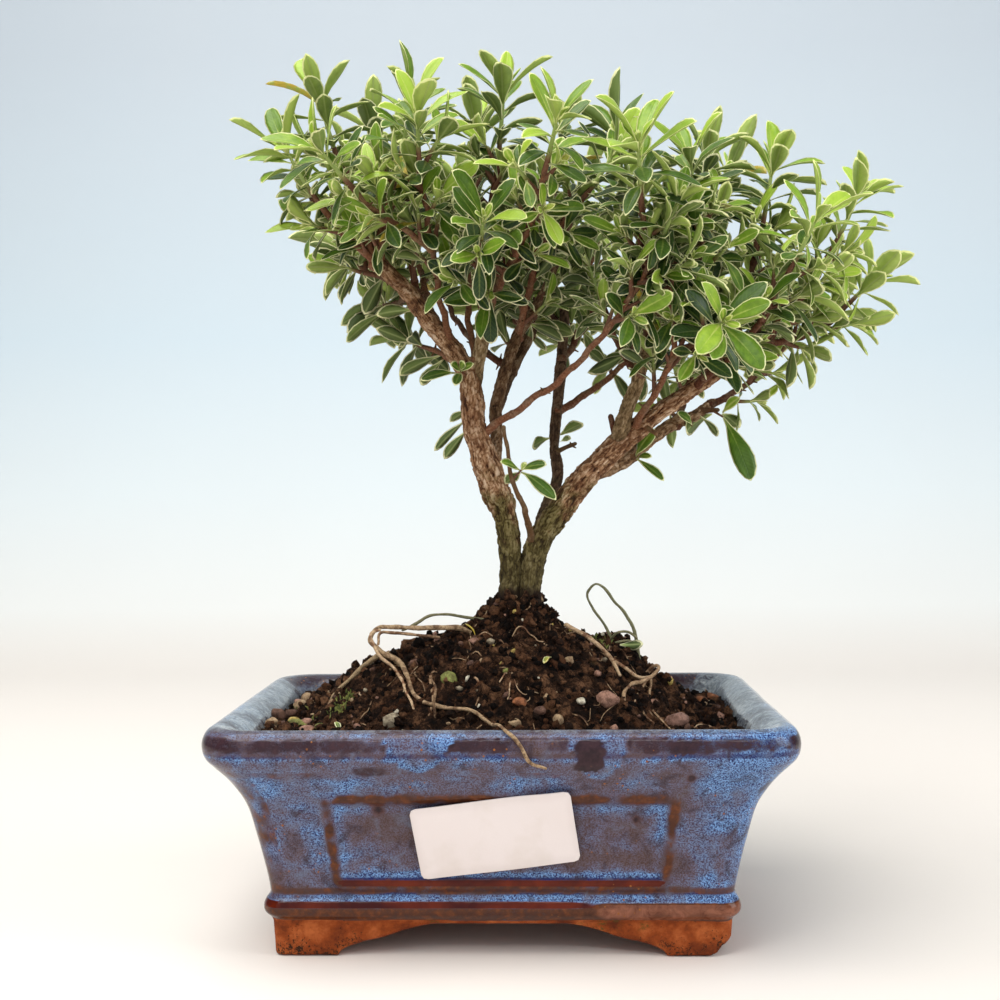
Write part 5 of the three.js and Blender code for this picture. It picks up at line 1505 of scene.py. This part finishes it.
# %% Loose crumbs
COLLAR_CRUMBS = 420  # around the trunks' foot, the nearest heaped up against it
crumb_pile = Pile()
around = rng.uniform(0, 2 * np.pi, COLLAR_CRUMBS)
far = 5.5 + 8.5 * rng.random(COLLAR_CRUMBS) ** 1.3
x, y = 5.2 + far * np.cos(around), 0.85 * far * np.sin(around)
places = np.vstack([on_soil(3100), np.stack([x, y, crumbled(x, y)], -1)])
sizes = 0.45 + 1.35 * rng.random(len(places)) ** 1.9
places[:, 2] += 0.3 * sizes
places[-COLLAR_CRUMBS:, 2] += rng.random(COLLAR_CRUMBS) * 2.4 * ease(10.5, 6, far)
clods = on_soil(520)
clod_sizes = rng.uniform(1.3, 2.8, len(clods))
clods[:, 2] -= 0.35 * clod_sizes
scatter_lumps(crumb_pile, clods, clod_sizes, rough=0.42, tone=0.9 * rng.random(len(clods)))
scatter_lumps(crumb_pile, places, sizes, tone=rng.random(len(places)))
crumb_pile.piece("loose_soil_crumbs", earth, rounded=False)

# %% [markdown]
# A pebble starts as a fine ball, is stretched, dented by noise and then cut by a few random planes, each of
# which presses the points beyond it back onto itself. That gives the flat worn faces of broken stone. Its
# colour is kept as three numbers, so that one finish serves stones of every colour.

# %% Stones
BALL_ROWS, BALL_COLUMNS = 15, 22
CUTS = 9  # planes that press a pebble flat


def add_stone(pile, centre, half, tint, number):
    """A ball of latitude rows, dented, pressed flat by chance, stretched to its half axes and tilted."""
    chance = np.random.default_rng(number)
    latitude = np.linspace(0.06, np.pi - 0.06, BALL_ROWS)[:, None]
    longitude = np.arange(BALL_COLUMNS) * 2 * np.pi / BALL_COLUMNS
    ball = np.broadcast_arrays(
        np.sin(latitude) * np.cos(longitude), np.sin(latitude) * np.sin(longitude), -np.cos(latitude))
    ball = np.vstack([np.stack(ball, -1).reshape(-1, 3), [0, 0, -1], [0, 0, 1]])
    ball = ball * (1 + 0.10 * rough_noise(ball + number, 0.8, 3, seed=number))[:, None]
    for normal in unit(chance.normal(size=(CUTS, 3))):
        beyond = ball @ normal - chance.uniform(0.74, 0.93)
        ball = ball - 0.9 * np.maximum(beyond, 0)[:, None] * normal
    ball = ball * (1 + 0.02 * rough_noise(ball * 6, 1, 2, seed=number + 9))[:, None]
    tilt = unit(chance.normal(size=3) * [0.3, 0.3, 0] + [0, 0, 1])
    east = unit(np.cross(tilt, [0.3, 1, 0]))
    points = centre + (ball * half) @ np.stack([east, np.cross(tilt, east), tilt])
    pile.add(points, closed_faces(BALL_ROWS, BALL_COLUMNS), tint=tint, tone=(number * 0.37) % 1)


# %% Stone finish
worn = Finish("worn_stone", 0.8)
tint = worn.kept_vector("tint")
cloud = worn.noise(1.8, 5, 0.7)
speck = worn.noise(0.35, 3, 0.8)
mix = {"out": 2, "data_type": "RGBA", "i0": 1.0, "i6": tint}
dark = node(worn.tree, "Mix", blend_type="MULTIPLY", i7=(0.34, 0.29, 0.26), **mix)
pale = node(worn.tree, "Mix", blend_type="ADD", i7=(0.09, 0.085, 0.08), **mix)
base = speck.between(0.56, 0.72).blend(cloud.between(0.35, 0.65).blend(dark, tint), pale)
base = speck.between(0.34, 0.24).blend(base, (0.03, 0.022, 0.018))
worn.feed(base, cloud.between(0.3, 0.7, 0.88, 0.55))
worn.bump(cloud * 0.6 + speck * 0.4, 0.7)

# %% The pebbles that are pieces of their own
TINTS = {
    "tan": (0.46, 0.31, 0.17), "pink": (0.42, 0.22, 0.15), "brown": (0.150, 0.065, 0.036),
    "white": (0.74, 0.68, 0.52), "green": (0.26, 0.28, 0.060), "yellow": (0.52, 0.38, 0.09),
    "mottled": (0.40, 0.33, 0.22), "orange": (0.38, 0.13, 0.04), "red": (0.30, 0.155, 0.11),
}
PEBBLES = [
    ("mottled_pebble", (-32, -39, 67.2), (2.9, 2.5, 2.5), "mottled"),
    ("green_pebble", (-15.6, -30.5, 78.2), (2.9, 2.4, 2.5), "green"),
    ("pink_pebble", (31.5, -34, 72.6), (3.6, 2.8, 2.7), "pink"),
    ("broad_pebble", (52, -30, 65.4), (4.1, 3.1, 2.7), "red"),
]
for number, (name, centre, half, kind) in enumerate(PEBBLES):
    pile = Pile()
    add_stone(pile, centre, half, TINTS[kind], 40 + number)
    pile.piece(name + "_stone", worn, replaces=[name])

# %% Smaller stones and grit
STONE_SINK = 0.4  # how far each of these stones settles into the soil
# Colour, x, y and how far its middle stood over the mound before it settled; then its half axes
SMALL_STONES = """
tan -71 -20 0.9, 2.6 1.9 1.9
tan -69.5 -25.5 0.5, 1.3 1 1
pink -60 -21 0.7, 2.2 1.8 1.6
brown -27 -19 0.6, 2 1.6 1.5
brown -71 -8 1.6, 2.6 2.1 1.9
brown -67.5 -4 1.2, 2.2 1.9 1.7
tan -67.8 12 1.2, 2.5 2.1 2
tan -67.4 25 1.4, 2.6 2.2 2.2
tan -63 19 1, 1.7 1.5 1.4
pink -59.6 28 1.3, 3 2.4 2.1
green -62.4 -22 1, 3.4 1.8 1.5
yellow -64.5 -17 1, 2 1.6 1.4
pink -58.3 -30 0.5, 2.6 1.9 1.5
green -55 -27 0.4, 1.6 1.3 1.2
yellow -40.5 -40 0.3, 2.3 1.6 1
pink -9 -15 0.8, 1.9 1.5 1.1
white 2 -25 0.5, 1.2 1 0.9
white 6 -10 0.5, 1 0.8 0.8
pink 1.2 -8 0.5, 0.9 0.8 0.8
mottled -3.5 -16 0.5, 1.4 1.1 1
green 1.8 -30 0.5, 1.5 1.2 1.1
yellow 15 -27 0.5, 1.3 1.1 0.9
orange 5.7 -40 0.5, 2.3 1.6 1.5
white 23.6 -36.8 0.5, 1.5 1.2 1.1
tan 16.7 -43.8 0.5, 1.6 1.3 1.9
tan 4.3 -45.5 0.5, 2.3 1.4 1.3
brown 11.5 -42 0.5, 2.2 1.5 1.3
pink 27 -8 0.5, 1.2 1 0.8
orange 70 27 1, 2 1.6 1.5
orange 69.5 32 1, 1.5 1.3 1.2
orange 66 24 0.8, 2.2 1.8 1.5
pink -70 22 0.8, 1.6 1.3 1.2
tan -58 38 0.8, 2.4 2 1.7
pink 60 -38 0.5, 1.7 1.4 1.2
tan -48 -40 0.4, 1.5 1.2 1.1
mottled 40 30 0.6, 2.1 1.7 1.6
pink -20 38 0.7, 2.3 1.8 1.6
tan 12 44 0.6, 1.8 1.4 1.3
brown 58 8 0.5, 1.8 1.5 1.3
mottled -45 12 0.5, 1.9 1.5 1.4
brown -10 24 0.5, 1.6 1.3 1.2
pink 46 -22 0.5, 1.5 1.2 1.1
"""
GRIT_SHARES = {"tan": 0.3, "pink": 0.25, "brown": 0.2, "white": 0.06, "mottled": 0.14, "yellow": 0.05}
small_pile = Pile()
for number, line in enumerate(SMALL_STONES.strip().split("\n")):
    kind, row = line.split(" ", 1)
    (x, y, over_soil), half = table(row)[0]
    add_stone(small_pile, (x, y, mound_height(x, y) - STONE_SINK + over_soil), half, TINTS[kind], 60 + number)
places = on_soil(330)
sizes = 0.35 + 1.25 * rng.random(len(places)) ** 2.2
places[:, 2] += 0.4 * sizes
drawn = rng.choice(len(GRIT_SHARES), len(places), p=list(GRIT_SHARES.values()))
tints = np.array([TINTS[kind] for kind in GRIT_SHARES])[drawn]
scatter_lumps(small_pile, places, sizes, rough=0.25, flat=0.6, tint=tints, tone=rng.random(len(places)))
small_pile.piece("small_stones_and_grit", worn)

# %% [markdown]
# ## Bare roots
# Some roots run over the soil before they dive in again. They are tubes like the twigs, but knobbly: a slow
# noise swells and pinches them, and a finer one wrinkles their skin. Thin ones are only a few tenths of a
# millimetre. Fresh roots are a pinkish tan; where light has reached one for long it turns a greyish green.

# %% Root finish
rooty = Finish("bare_root", 0.8, 0.3)
tone, mossy = rooty.kept("tone", "mossy")
grain = rooty.noise(0.7, 4, 0.75)
value = grain * 0.75 + tone * 0.2
pale = value.ramp((0.3, 0.120, 0.060, 0.028), (0.5, 0.440, 0.285, 0.160), (0.7, 0.720, 0.540, 0.350))
dark = value.ramp((0.3, 0.050, 0.024, 0.012), (0.7, 0.290, 0.140, 0.072))
base = rooty.noise(3.2).between(0.48, 0.62).blend(pale, dark)
base = mossy.blend(base, value.ramp((0.2, 0.070, 0.082, 0.034), (0.8, 0.300, 0.310, 0.170)))
rooty.feed(base, grain.between(0.2, 0.8, 0.9, 0.6))
rooty.bump(grain, 0.4)

# %% Roots
# Name and how green it is; then, one root a line, x, y, z and radius of each knot
ROOT_NAMES = [
    ("left_trailing_root", 0.12), ("left_arching_root", 0.25),
    ("right_looping_root", 0.85), ("right_bent_root", 0.0)]
ROOTS = table("""
-6 -5 87 0.9, -13 -8 91 0.9, -24 -11 91.5 0.8, -34 -13 92 0.7, -39 -15 92 0.7, -41 -17 88.5 0.7, \
-37 -18 85 0.8, -32 -19 82.5 0.8, -29 -24 79.5 0.7, -25 -34.5 73.5 0.6, -16 -40 71.5 0.6, -8.5 -42 71 0.5, \
-4.5 -46 69.2 0.5, -2 -53 68.6 0.5, 0 -58.5 69.2 0.5, 3 -62.4 67.6 0.5, 6.3 -63.8 64.2 0.5, \
8.3 -63.8 60.5 0.5, 13 -63.2 58.2 0.4
-29 -15 77 0.9, -34 -14 82.5 0.9, -38.5 -13 83.4 0.8, -43 -12 80.5 0.8, -47 -13 76.5 0.7, \
-51.5 -15 72.5 0.7, -55 -17 66 0.6
36 3 82 0.5, 33.5 3 89 0.5, 31.5 3 92.5 0.4, 28.5 2 97 0.4, 27 1 101.5 0.4, 29.5 0 104.5 0.4, \
32.5 0 103.2 0.4, 35.5 0 99 0.5, 39.5 1 94 0.5, 42 2 88.5 0.6, 43 1 82 0.7, 43 -1 75 0.7
43 -6 74 0.7, 47.5 -9 79.3 0.6, 48.6 -12 79 0.6, 45 -16 76.2 0.6, 40 -21 75.4 0.6, 37 -27 73.6 0.6, \
36.7 -32 70.8 0.5, 38 -37 64.5 0.5
""")


def add_root(pile, knots, number, sides=9, green=0.0):
    """A knobbly tube along the knots. Its skin is pushed along the direction from its own middle line."""
    path, along = smooth_path(knots, 0.8)
    hold = ease(0, 4, along) * ease(0, 4, along[-1] - along)
    path[:, :3] += 0.35 * drift(path[:, :3], 4.5, [number + k for k in (400, 500, 600)]) * hold[:, None]
    radius = path[:, 3] * (1 + 0.22 * soft_noise(path[:, :3], 3.0, seed=number + 7))
    places, faces, distance = tube(path, sides, radius)
    nearest = np.clip(np.searchsorted(along, distance), 0, len(path) - 1)
    out = unit(places - path[nearest, :3])
    wrinkle = rough_noise(places, 0.9, 2, seed=number)
    places = places + out * (0.16 * radius[nearest] * wrinkle)[:, None]
    pile.add(places, faces, tone=(number * 0.29) % 1, mossy=green)


for number, ((name, green), knots) in enumerate(zip(ROOT_NAMES, ROOTS)):
    pile = Pile()
    add_root(pile, knots, 31 * number + 5, green=green)
    pile.piece(name + "_bark", rooty, replaces=[name])

# %% Small roots and fibres
# Thin roots that come up and dive again, one a line
THIN_ROOTS = table("""
-38 -15 91.5 0.5, -40.5 -17 90.4 0.5, -38.5 -19.5 85.4 0.5, -33.2 -21 80.6 0.5, -30.4 -26 77.6 0.45, \
-27 -34 72.8 0.4, -24.5 -40 67.4 0.35
-20 -10 88.5 0.5, -27 -12 89.4 0.5, -33 -13.5 90.4 0.5, -37.5 -16 90.8 0.5, -38 -19 87.6 0.4
-51 -15 71.5 0.4, -54.5 -17.5 68.2 0.35, -57.5 -19 64.4 0.3
-50 -15 72.5 0.35, -53 -15 68 0.3, -56 -14 64 0.25
-3 -4 93 0.6, -12 -3 94.4 0.5, -18 -3 95.2 0.45, -24 -5 94.6 0.45, -29 -7 91.8 0.45, -31.5 -9 90.8 0.4
-19 -24 81 0.5, -21.2 -27 78.8 0.5, -19.9 -36.8 72.1 0.45, -21.5 -42.2 67.2 0.35
-6 -25 83.5 0.4, -9 -29.5 79.7 0.4, -7 -33 78.6 0.35, -5.2 -35.2 74.6 0.3
-18.5 -40 66 0.5, -19.2 -41 73 0.4, -19 -41 77.5 0.35, -20.4 -41 80.6 0.2
34 3 86 0.4, 36.5 1 88.4 0.4, 40 1 88.8 0.4, 42.6 1 87 0.35
33.5 3 84.5 0.4, 37 1 85.9 0.4, 40.5 1 86 0.35, 42.8 1 84.6 0.3
35 -12 81 0.5, 37.9 -14.2 79.3 0.5, 42.4 -15.5 76.3 0.5, 46 -12.8 76.4 0.5
44 -17 75.5 0.35, 41.9 -22.2 72.6 0.3, 42.6 -31.8 67.6 0.3, 45 -34.2 65.6 0.25
46 -13 75.5 0.4, 45.2 -20 71 0.35, 45.5 -27 68 0.3, 49.5 -37 64.4 0.25
20 -6 91.8 0.8, 27 -9 88 0.7, 33 -14 83 0.6, 36 -20 77.8 0.5
18 12 89 1, 27 18 84 0.9, 35 25 77 0.7, 42 32 70.5 0.6
-8 12 90.4 1, -18 19 85 0.9, -30 25 78.4 0.7, -40 32 71.5 0.6
4 14 90.4 0.9, 6 24 85.4 0.8, 3 34 78.4 0.6, 6 42 72 0.5
""")
GREEN_THIN_ROOTS = (4, 8, 9)
FIBRES = 85
SOIL_EDGE = np.array([SOIL_HALF, SOIL_DEEP])
fibre_pile = Pile()
for number, knots in enumerate(THIN_ROOTS):
    add_root(fibre_pile, knots, 200 + number, sides=7, green=0.75 * (number in GREEN_THIN_ROOTS))
for _ in range(FIBRES):
    start = on_soil(1, 0.9)[0, :2]
    heading = rng.random() * 6.3
    steps = int(rng.integers(4, 9))
    headings = heading + np.cumsum(rng.normal(0, 0.5, steps))
    stride = rng.uniform(1.2, 2.4)
    xy = start + np.cumsum(np.stack([np.cos(headings), np.sin(headings)], -1) * stride, axis=0)
    xy = np.clip(xy, 3 - SOIL_EDGE, SOIL_EDGE - 3)
    lift = 0.5 + 0.9 * np.sin(np.linspace(0, np.pi, steps)) * rng.random()
    thick = rng.uniform(0.10, 0.24)
    knots = np.column_stack([xy, crumbled(*xy.T) + lift - 0.3, np.full(steps, thick)])
    path, _ = smooth_path(knots, 0.9)
    places, faces, _ = tube(path, 5)
    fibre_pile.add(places, faces, tone=rng.random(), mossy=0)
fibre_pile.piece("small_roots_and_fibres", rooty)

# %% [markdown]
# ## Moss and fallen leaves
# Five small patches of moss sit on the soil: a few hundred leaflets that stand up from it, each a tapered
# four-sided tube. Four dropped leaves lie among the stones, two of them yellow.

# %% Moss
moss = Finish("moss", 0.8)
(tone,) = moss.kept("tone")
grain = moss.noise(0.8)
base = (tone * 0.6 + grain * 0.4).ramp(
    (0.1, 0.045, 0.060, 0.010), (0.5, 0.130, 0.150, 0.025), (0.9, 0.310, 0.290, 0.070))
moss.feed(base, grain.between(0.2, 0.8, 0.9, 0.65))
moss.bump(grain, 0.2)
# x, y, reach and number of leaflets of each patch
MOSS_PATCHES = [
    (-48.5, -22, 3.6, 110), (31, 1, 3.0, 60), (-62, -20, 4.0, 70), (-66, 12, 4.0, 40), (58, 26, 4.0, 40)]
moss_pile = Pile()
for x, y, reach, count in MOSS_PATCHES:
    spots = np.array([x, y]) + reach * rng.normal(size=(count, 2)) * 0.5
    spots = np.clip(spots, 1 - SOIL_EDGE, SOIL_EDGE - 1)
    for spot, level in zip(spots, crumbled(*spots.T)):
        lean = rng.normal(0, 0.45, 2)
        tall = rng.uniform(0.5, 1.2)
        middle, tip = spot + 0.4 * lean, spot + lean
        foot, crest = [*spot, level - 0.3, 0.22], [*tip, level + tall, 0.08]
        places, faces, _ = tube(np.array([foot, [*middle, level + 0.5 * tall, 0.22], crest]), 4)
        moss_pile.add(places, faces, tone=rng.random())
moss_pile.piece("moss_patches", moss)

# %% Fallen leaves
fallen = Pile()
leaf, _ = shoot_leaves(np.zeros(3), (0, 0, 1), 1.0, 2, 10.5, 0.4)
places = np.array([[37.1, -1.2], [-8.5, -13.2], [15.0, -27.0], [-50.0, -30.0]])
leaf["base"] = np.column_stack([places, crumbled(*places.T) + 1.2])
headings = np.array([0.1, 1.9, 4.1, 5.2])
slopes = np.array([-0.05, 0.9, 0.2, -0.1])
leaf["direction"] = unit(np.stack([np.cos(headings), np.sin(headings), slopes], -1))
upper = np.array([[0, 0.9, -0.4], [0.9, -0.5, 0.2], [0, 0, 1.0], [0, 0, 1.0]]) + 0.1 * rng.normal(size=(4, 3))
leaf["upper"] = squared(upper, leaf["direction"])
leaf["length"] = np.array([7.5, 7.0, 4.2, 5.0])
leaf["width"] = np.array([0.5, 0.26, 0.5, 0.4]) * leaf["length"]
leaf["curl"] = np.array([0.4, 0.7, 1.2, 0.7])
leaf["tone"] = np.array([0.5, 0.995, 0.995, 0.4])
leaf["age"] = np.array([0.95, 0.4, 0.5, 0.9])
add_leaves(fallen, leaf)
fallen.piece("fallen_leaves", leafy)

# %% [markdown]
# ## The paper label
# A small blank label leans on the raised frame, where it was stuck by hand, a little crooked. Paper never
# lies quite flat: it is a thin sheet of points here, bowed between the frame's bars, with its corners
# rounded and one of them lifted.

# %% Paper
paper = Finish("label_paper", 0.6)
u, v = paper.kept("u", "v")
fibre = paper.noise(0.6, 5, 0.7)
base = paper.noise(11).between(0.45, 0.75).blend((0.80, 0.72, 0.70), (0.74, 0.66, 0.62))
base = fibre.between(0.62, 0.75, 0.0, 0.10).blend(base, (0.55, 0.50, 0.48))
far = u.maths("MAXIMUM", u.maths("ABSOLUTE", u) - 19.5, v.maths("ABSOLUTE", v) - 7.5)
base = far.between(0.6, 3.4, 0.0, 0.16).blend(base, (0.52, 0.44, 0.42))
paper.feed(base, fibre.between(0.2, 0.8, 0.7, 0.5))
paper.bump(fibre, 0.06, 0.6)

# %% Label
# Rings of a rounded rectangle from its middle out, front then back, bowed, turned and leaned
label_low, label_high = ((np.array(corner) - POT_MIDDLE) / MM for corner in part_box("paper_label"))
print("label box in millimetres:", label_low.round(2), label_high.round(2))
LABEL_WIDTH, LABEL_HEIGHT, LABEL_CORNER, LABEL_THICK = 45.7, 22.8, 1.6, 0.28
LABEL_COLUMNS = 96
LABEL_TURN = np.radians(7.8)
LABEL_LEAN = np.arctan2(label_high[1] - label_low[1] - LABEL_THICK, label_high[2] - label_low[2])
shares = np.array([0.02, 0.2, 0.4, 0.6, 0.8, 0.93, 0.985, 1.0])
front = shares[:, None, None] * soil_ring(LABEL_WIDTH / 2, LABEL_HEIGHT / 2, LABEL_CORNER, LABEL_COLUMNS)
u, v = np.moveaxis(np.concatenate([front, front[::-1]]), -1, 0)
bow = -0.35 * (1 - (2 * u / LABEL_WIDTH) ** 2) * (1 - (2 * v / LABEL_HEIGHT) ** 2)
bow = bow + 0.20 * np.sin(u / 6 + 1) * np.sin(v / 5) - 0.5 * ease(18, 28, u + 0.9 * v)
out = np.repeat([-0.5, 0.5], len(shares))[:, None] * LABEL_THICK + bow
right = u * np.cos(LABEL_TURN) - v * np.sin(LABEL_TURN)
over = u * np.sin(LABEL_TURN) + v * np.cos(LABEL_TURN)
deep = out * np.cos(LABEL_LEAN) - over * np.sin(LABEL_LEAN)
high = over * np.cos(LABEL_LEAN) + out * np.sin(LABEL_LEAN)
points = (label_low + label_high) / 2 + np.stack([right, deep, high], -1)
faces = closed_faces(len(points), LABEL_COLUMNS)
points = np.vstack([points.reshape(-1, 3), points[0].mean(0), points[-1].mean(0)])
label_pile = Pile()
label_pile.add(points, faces, u=np.append(u, [0, 0]), v=np.append(v, [0, 0]))
label_pile.piece("blank_paper_label", paper, replaces=["paper_label"])

# %% [markdown]
# ## Drain screens
# The two plastic screens over the drain holes keep their plain solids; only their finish is better. They can
# be seen through the holes from below.

# %% Screens
screen = Finish("screen_plastic", 0.5)
scuff = screen.noise(1.4, 4)
screen.feed(scuff.blend((0.010, 0.010, 0.011), (0.035, 0.033, 0.030)), scuff.between(0.3, 0.7, 0.40, 0.65))
screen.bump(scuff, 0.1, 0.5)
for name in ("drain_screen_left", "drain_screen_right"):
    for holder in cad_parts[name].material_slots:
        holder.material = screen.material

# %% [markdown]
# ## The room
# The tree stands on a pale sheet that curves up behind it, so there is no hard horizon. One large soft light
# comes from above and the left, a wide one from the front, and a cool one fills from the right. A narrow
# strip of light in front, high up, draws the long shine on the rim.

# %% Backdrop
# A sheet whose profile runs flat and then bends up behind the pot in a quarter circle; metres
bend = np.linspace(0, np.pi / 2, 25)
x = np.linspace(-2.2, 2.2, 5)
y = np.concatenate([[-1.6, -0.8, 0.0], 0.55 + 0.5 * np.sin(bend), [1.05, 1.05]])
z = np.concatenate([[0, 0, 0], 0.5 - 0.5 * np.cos(bend), [1.4, 2.6]]) - 0.0002
points = np.stack(np.broadcast_arrays(x, y[:, None], z[:, None]), -1)
mesh = bpy.data.meshes.new("backdrop")
mesh.from_pydata(points.reshape(-1, 3).tolist(), [], grid_faces(len(y), len(x), around=False).tolist())
mesh.polygons.foreach_set("use_smooth", np.ones(len(mesh.polygons), bool))
sheet = Finish("pale_paper_sheet", 0.9)
shade = node(sheet.tree, "SeparateXYZ", out=2, i0=sheet.place()).ramp(
    (0.0, 0.830, 0.770, 0.710), (0.035, 0.850, 0.850, 0.820), (0.134, 0.770, 0.830, 0.845),
    (0.30, 0.645, 0.750, 0.815), (0.62, 0.580, 0.650, 0.715))
sheet.feed(sheet.noise(160, 2).between(0.3, 0.7, 0.0, 0.05).blend(shade, (0.70, 0.68, 0.66)))
mesh.materials.append(sheet.material)
backdrop = bpy.data.objects.new("backdrop", mesh)
bpy.context.scene.collection.objects.link(backdrop)
backdrop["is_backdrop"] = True
print("backdrop:", len(mesh.polygons), "faces")

# %% Lights
def soft_light(name, at, toward, size, power, tint):
    """A rectangle of light at one point that faces another."""
    lamp = bpy.data.lights.new(name, "AREA")
    lamp.shape, lamp.size, lamp.size_y = "RECTANGLE", size[0], size[1]
    lamp.energy, lamp.color = power, tint
    made = bpy.data.objects.new(name, lamp)
    made.location = at
    way = np.array(toward) - np.array(at)
    made.rotation_euler = (np.arctan2(np.hypot(way[0], way[1]), -way[2]), 0, np.arctan2(-way[0], way[1]))
    bpy.context.scene.collection.objects.link(made)
    made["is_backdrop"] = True
    print(name, power, "watts")


soft_light("sky_light", (-0.35, -0.25, 1.15), (0, 0, 0.12), (1.1, 1.1), 18, (1.0, 0.98, 0.94))
soft_light("front_light", (-0.2, -1.3, 0.60), (0, 0, 0.12), (2.0, 1.3), 6.0, (0.95, 0.97, 1.0))
soft_light("strip_light", (-0.25, -1.0, 0.95), (0, 0, 0.06), (1.5, 0.05), 2.6, (0.96, 0.98, 1.0))
soft_light("right_light", (1.1, -0.3, 0.5), (0, 0, 0.14), (0.7, 0.9), 8, (0.96, 0.98, 1.0))
world = bpy.data.worlds.new("room")
bpy.context.scene.world = world
world.use_nodes = True
world.node_tree.nodes["Background"].inputs[0].default_value = (0.80, 0.86, 0.93, 1)
world.node_tree.nodes["Background"].inputs[1].default_value = 0.24

# %% [markdown]
# ## The camera
# It looks at the front of the pot from close by, from half the height of pot and tree, and almost level.

# %% Camera
EYE = np.array([11.796, -433.565, 133.861])  # millimetres from the middle of the pot's underside
YAW, PITCH, ROLL = np.radians([-1.6624, -0.3218, -0.4444])
ahead = np.array([np.sin(YAW) * np.cos(PITCH), np.cos(YAW) * np.cos(PITCH), np.sin(PITCH)])
right = np.array([np.cos(YAW), -np.sin(YAW), 0])
over = np.cross(right, ahead)
right, over = right * np.cos(ROLL) + over * np.sin(ROLL), over * np.cos(ROLL) - right * np.sin(ROLL)
lens = bpy.data.cameras.new("camera")
lens.lens, lens.sensor_width = 48.759, 36.0
lens.clip_start, lens.clip_end = 0.01, 20.0
camera = bpy.data.objects.new("camera", lens)
bpy.context.scene.collection.objects.link(camera)
turned = np.eye(4)
turned[:3, :3] = np.stack([right, over, -ahead], -1)
turned[:3, 3] = in_frame(EYE)
camera.matrix_world = Matrix(turned.tolist())
bpy.context.scene.camera = camera
bpy.context.scene.view_settings.view_transform = "Standard"

# %% Sizes
look_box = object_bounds()
sizes = {"cad": [[float(v) for v in corner] for corner in cad_box],
         "look": [[float(v) for v in corner] for corner in look_box]}
print("look box:", sizes["look"])
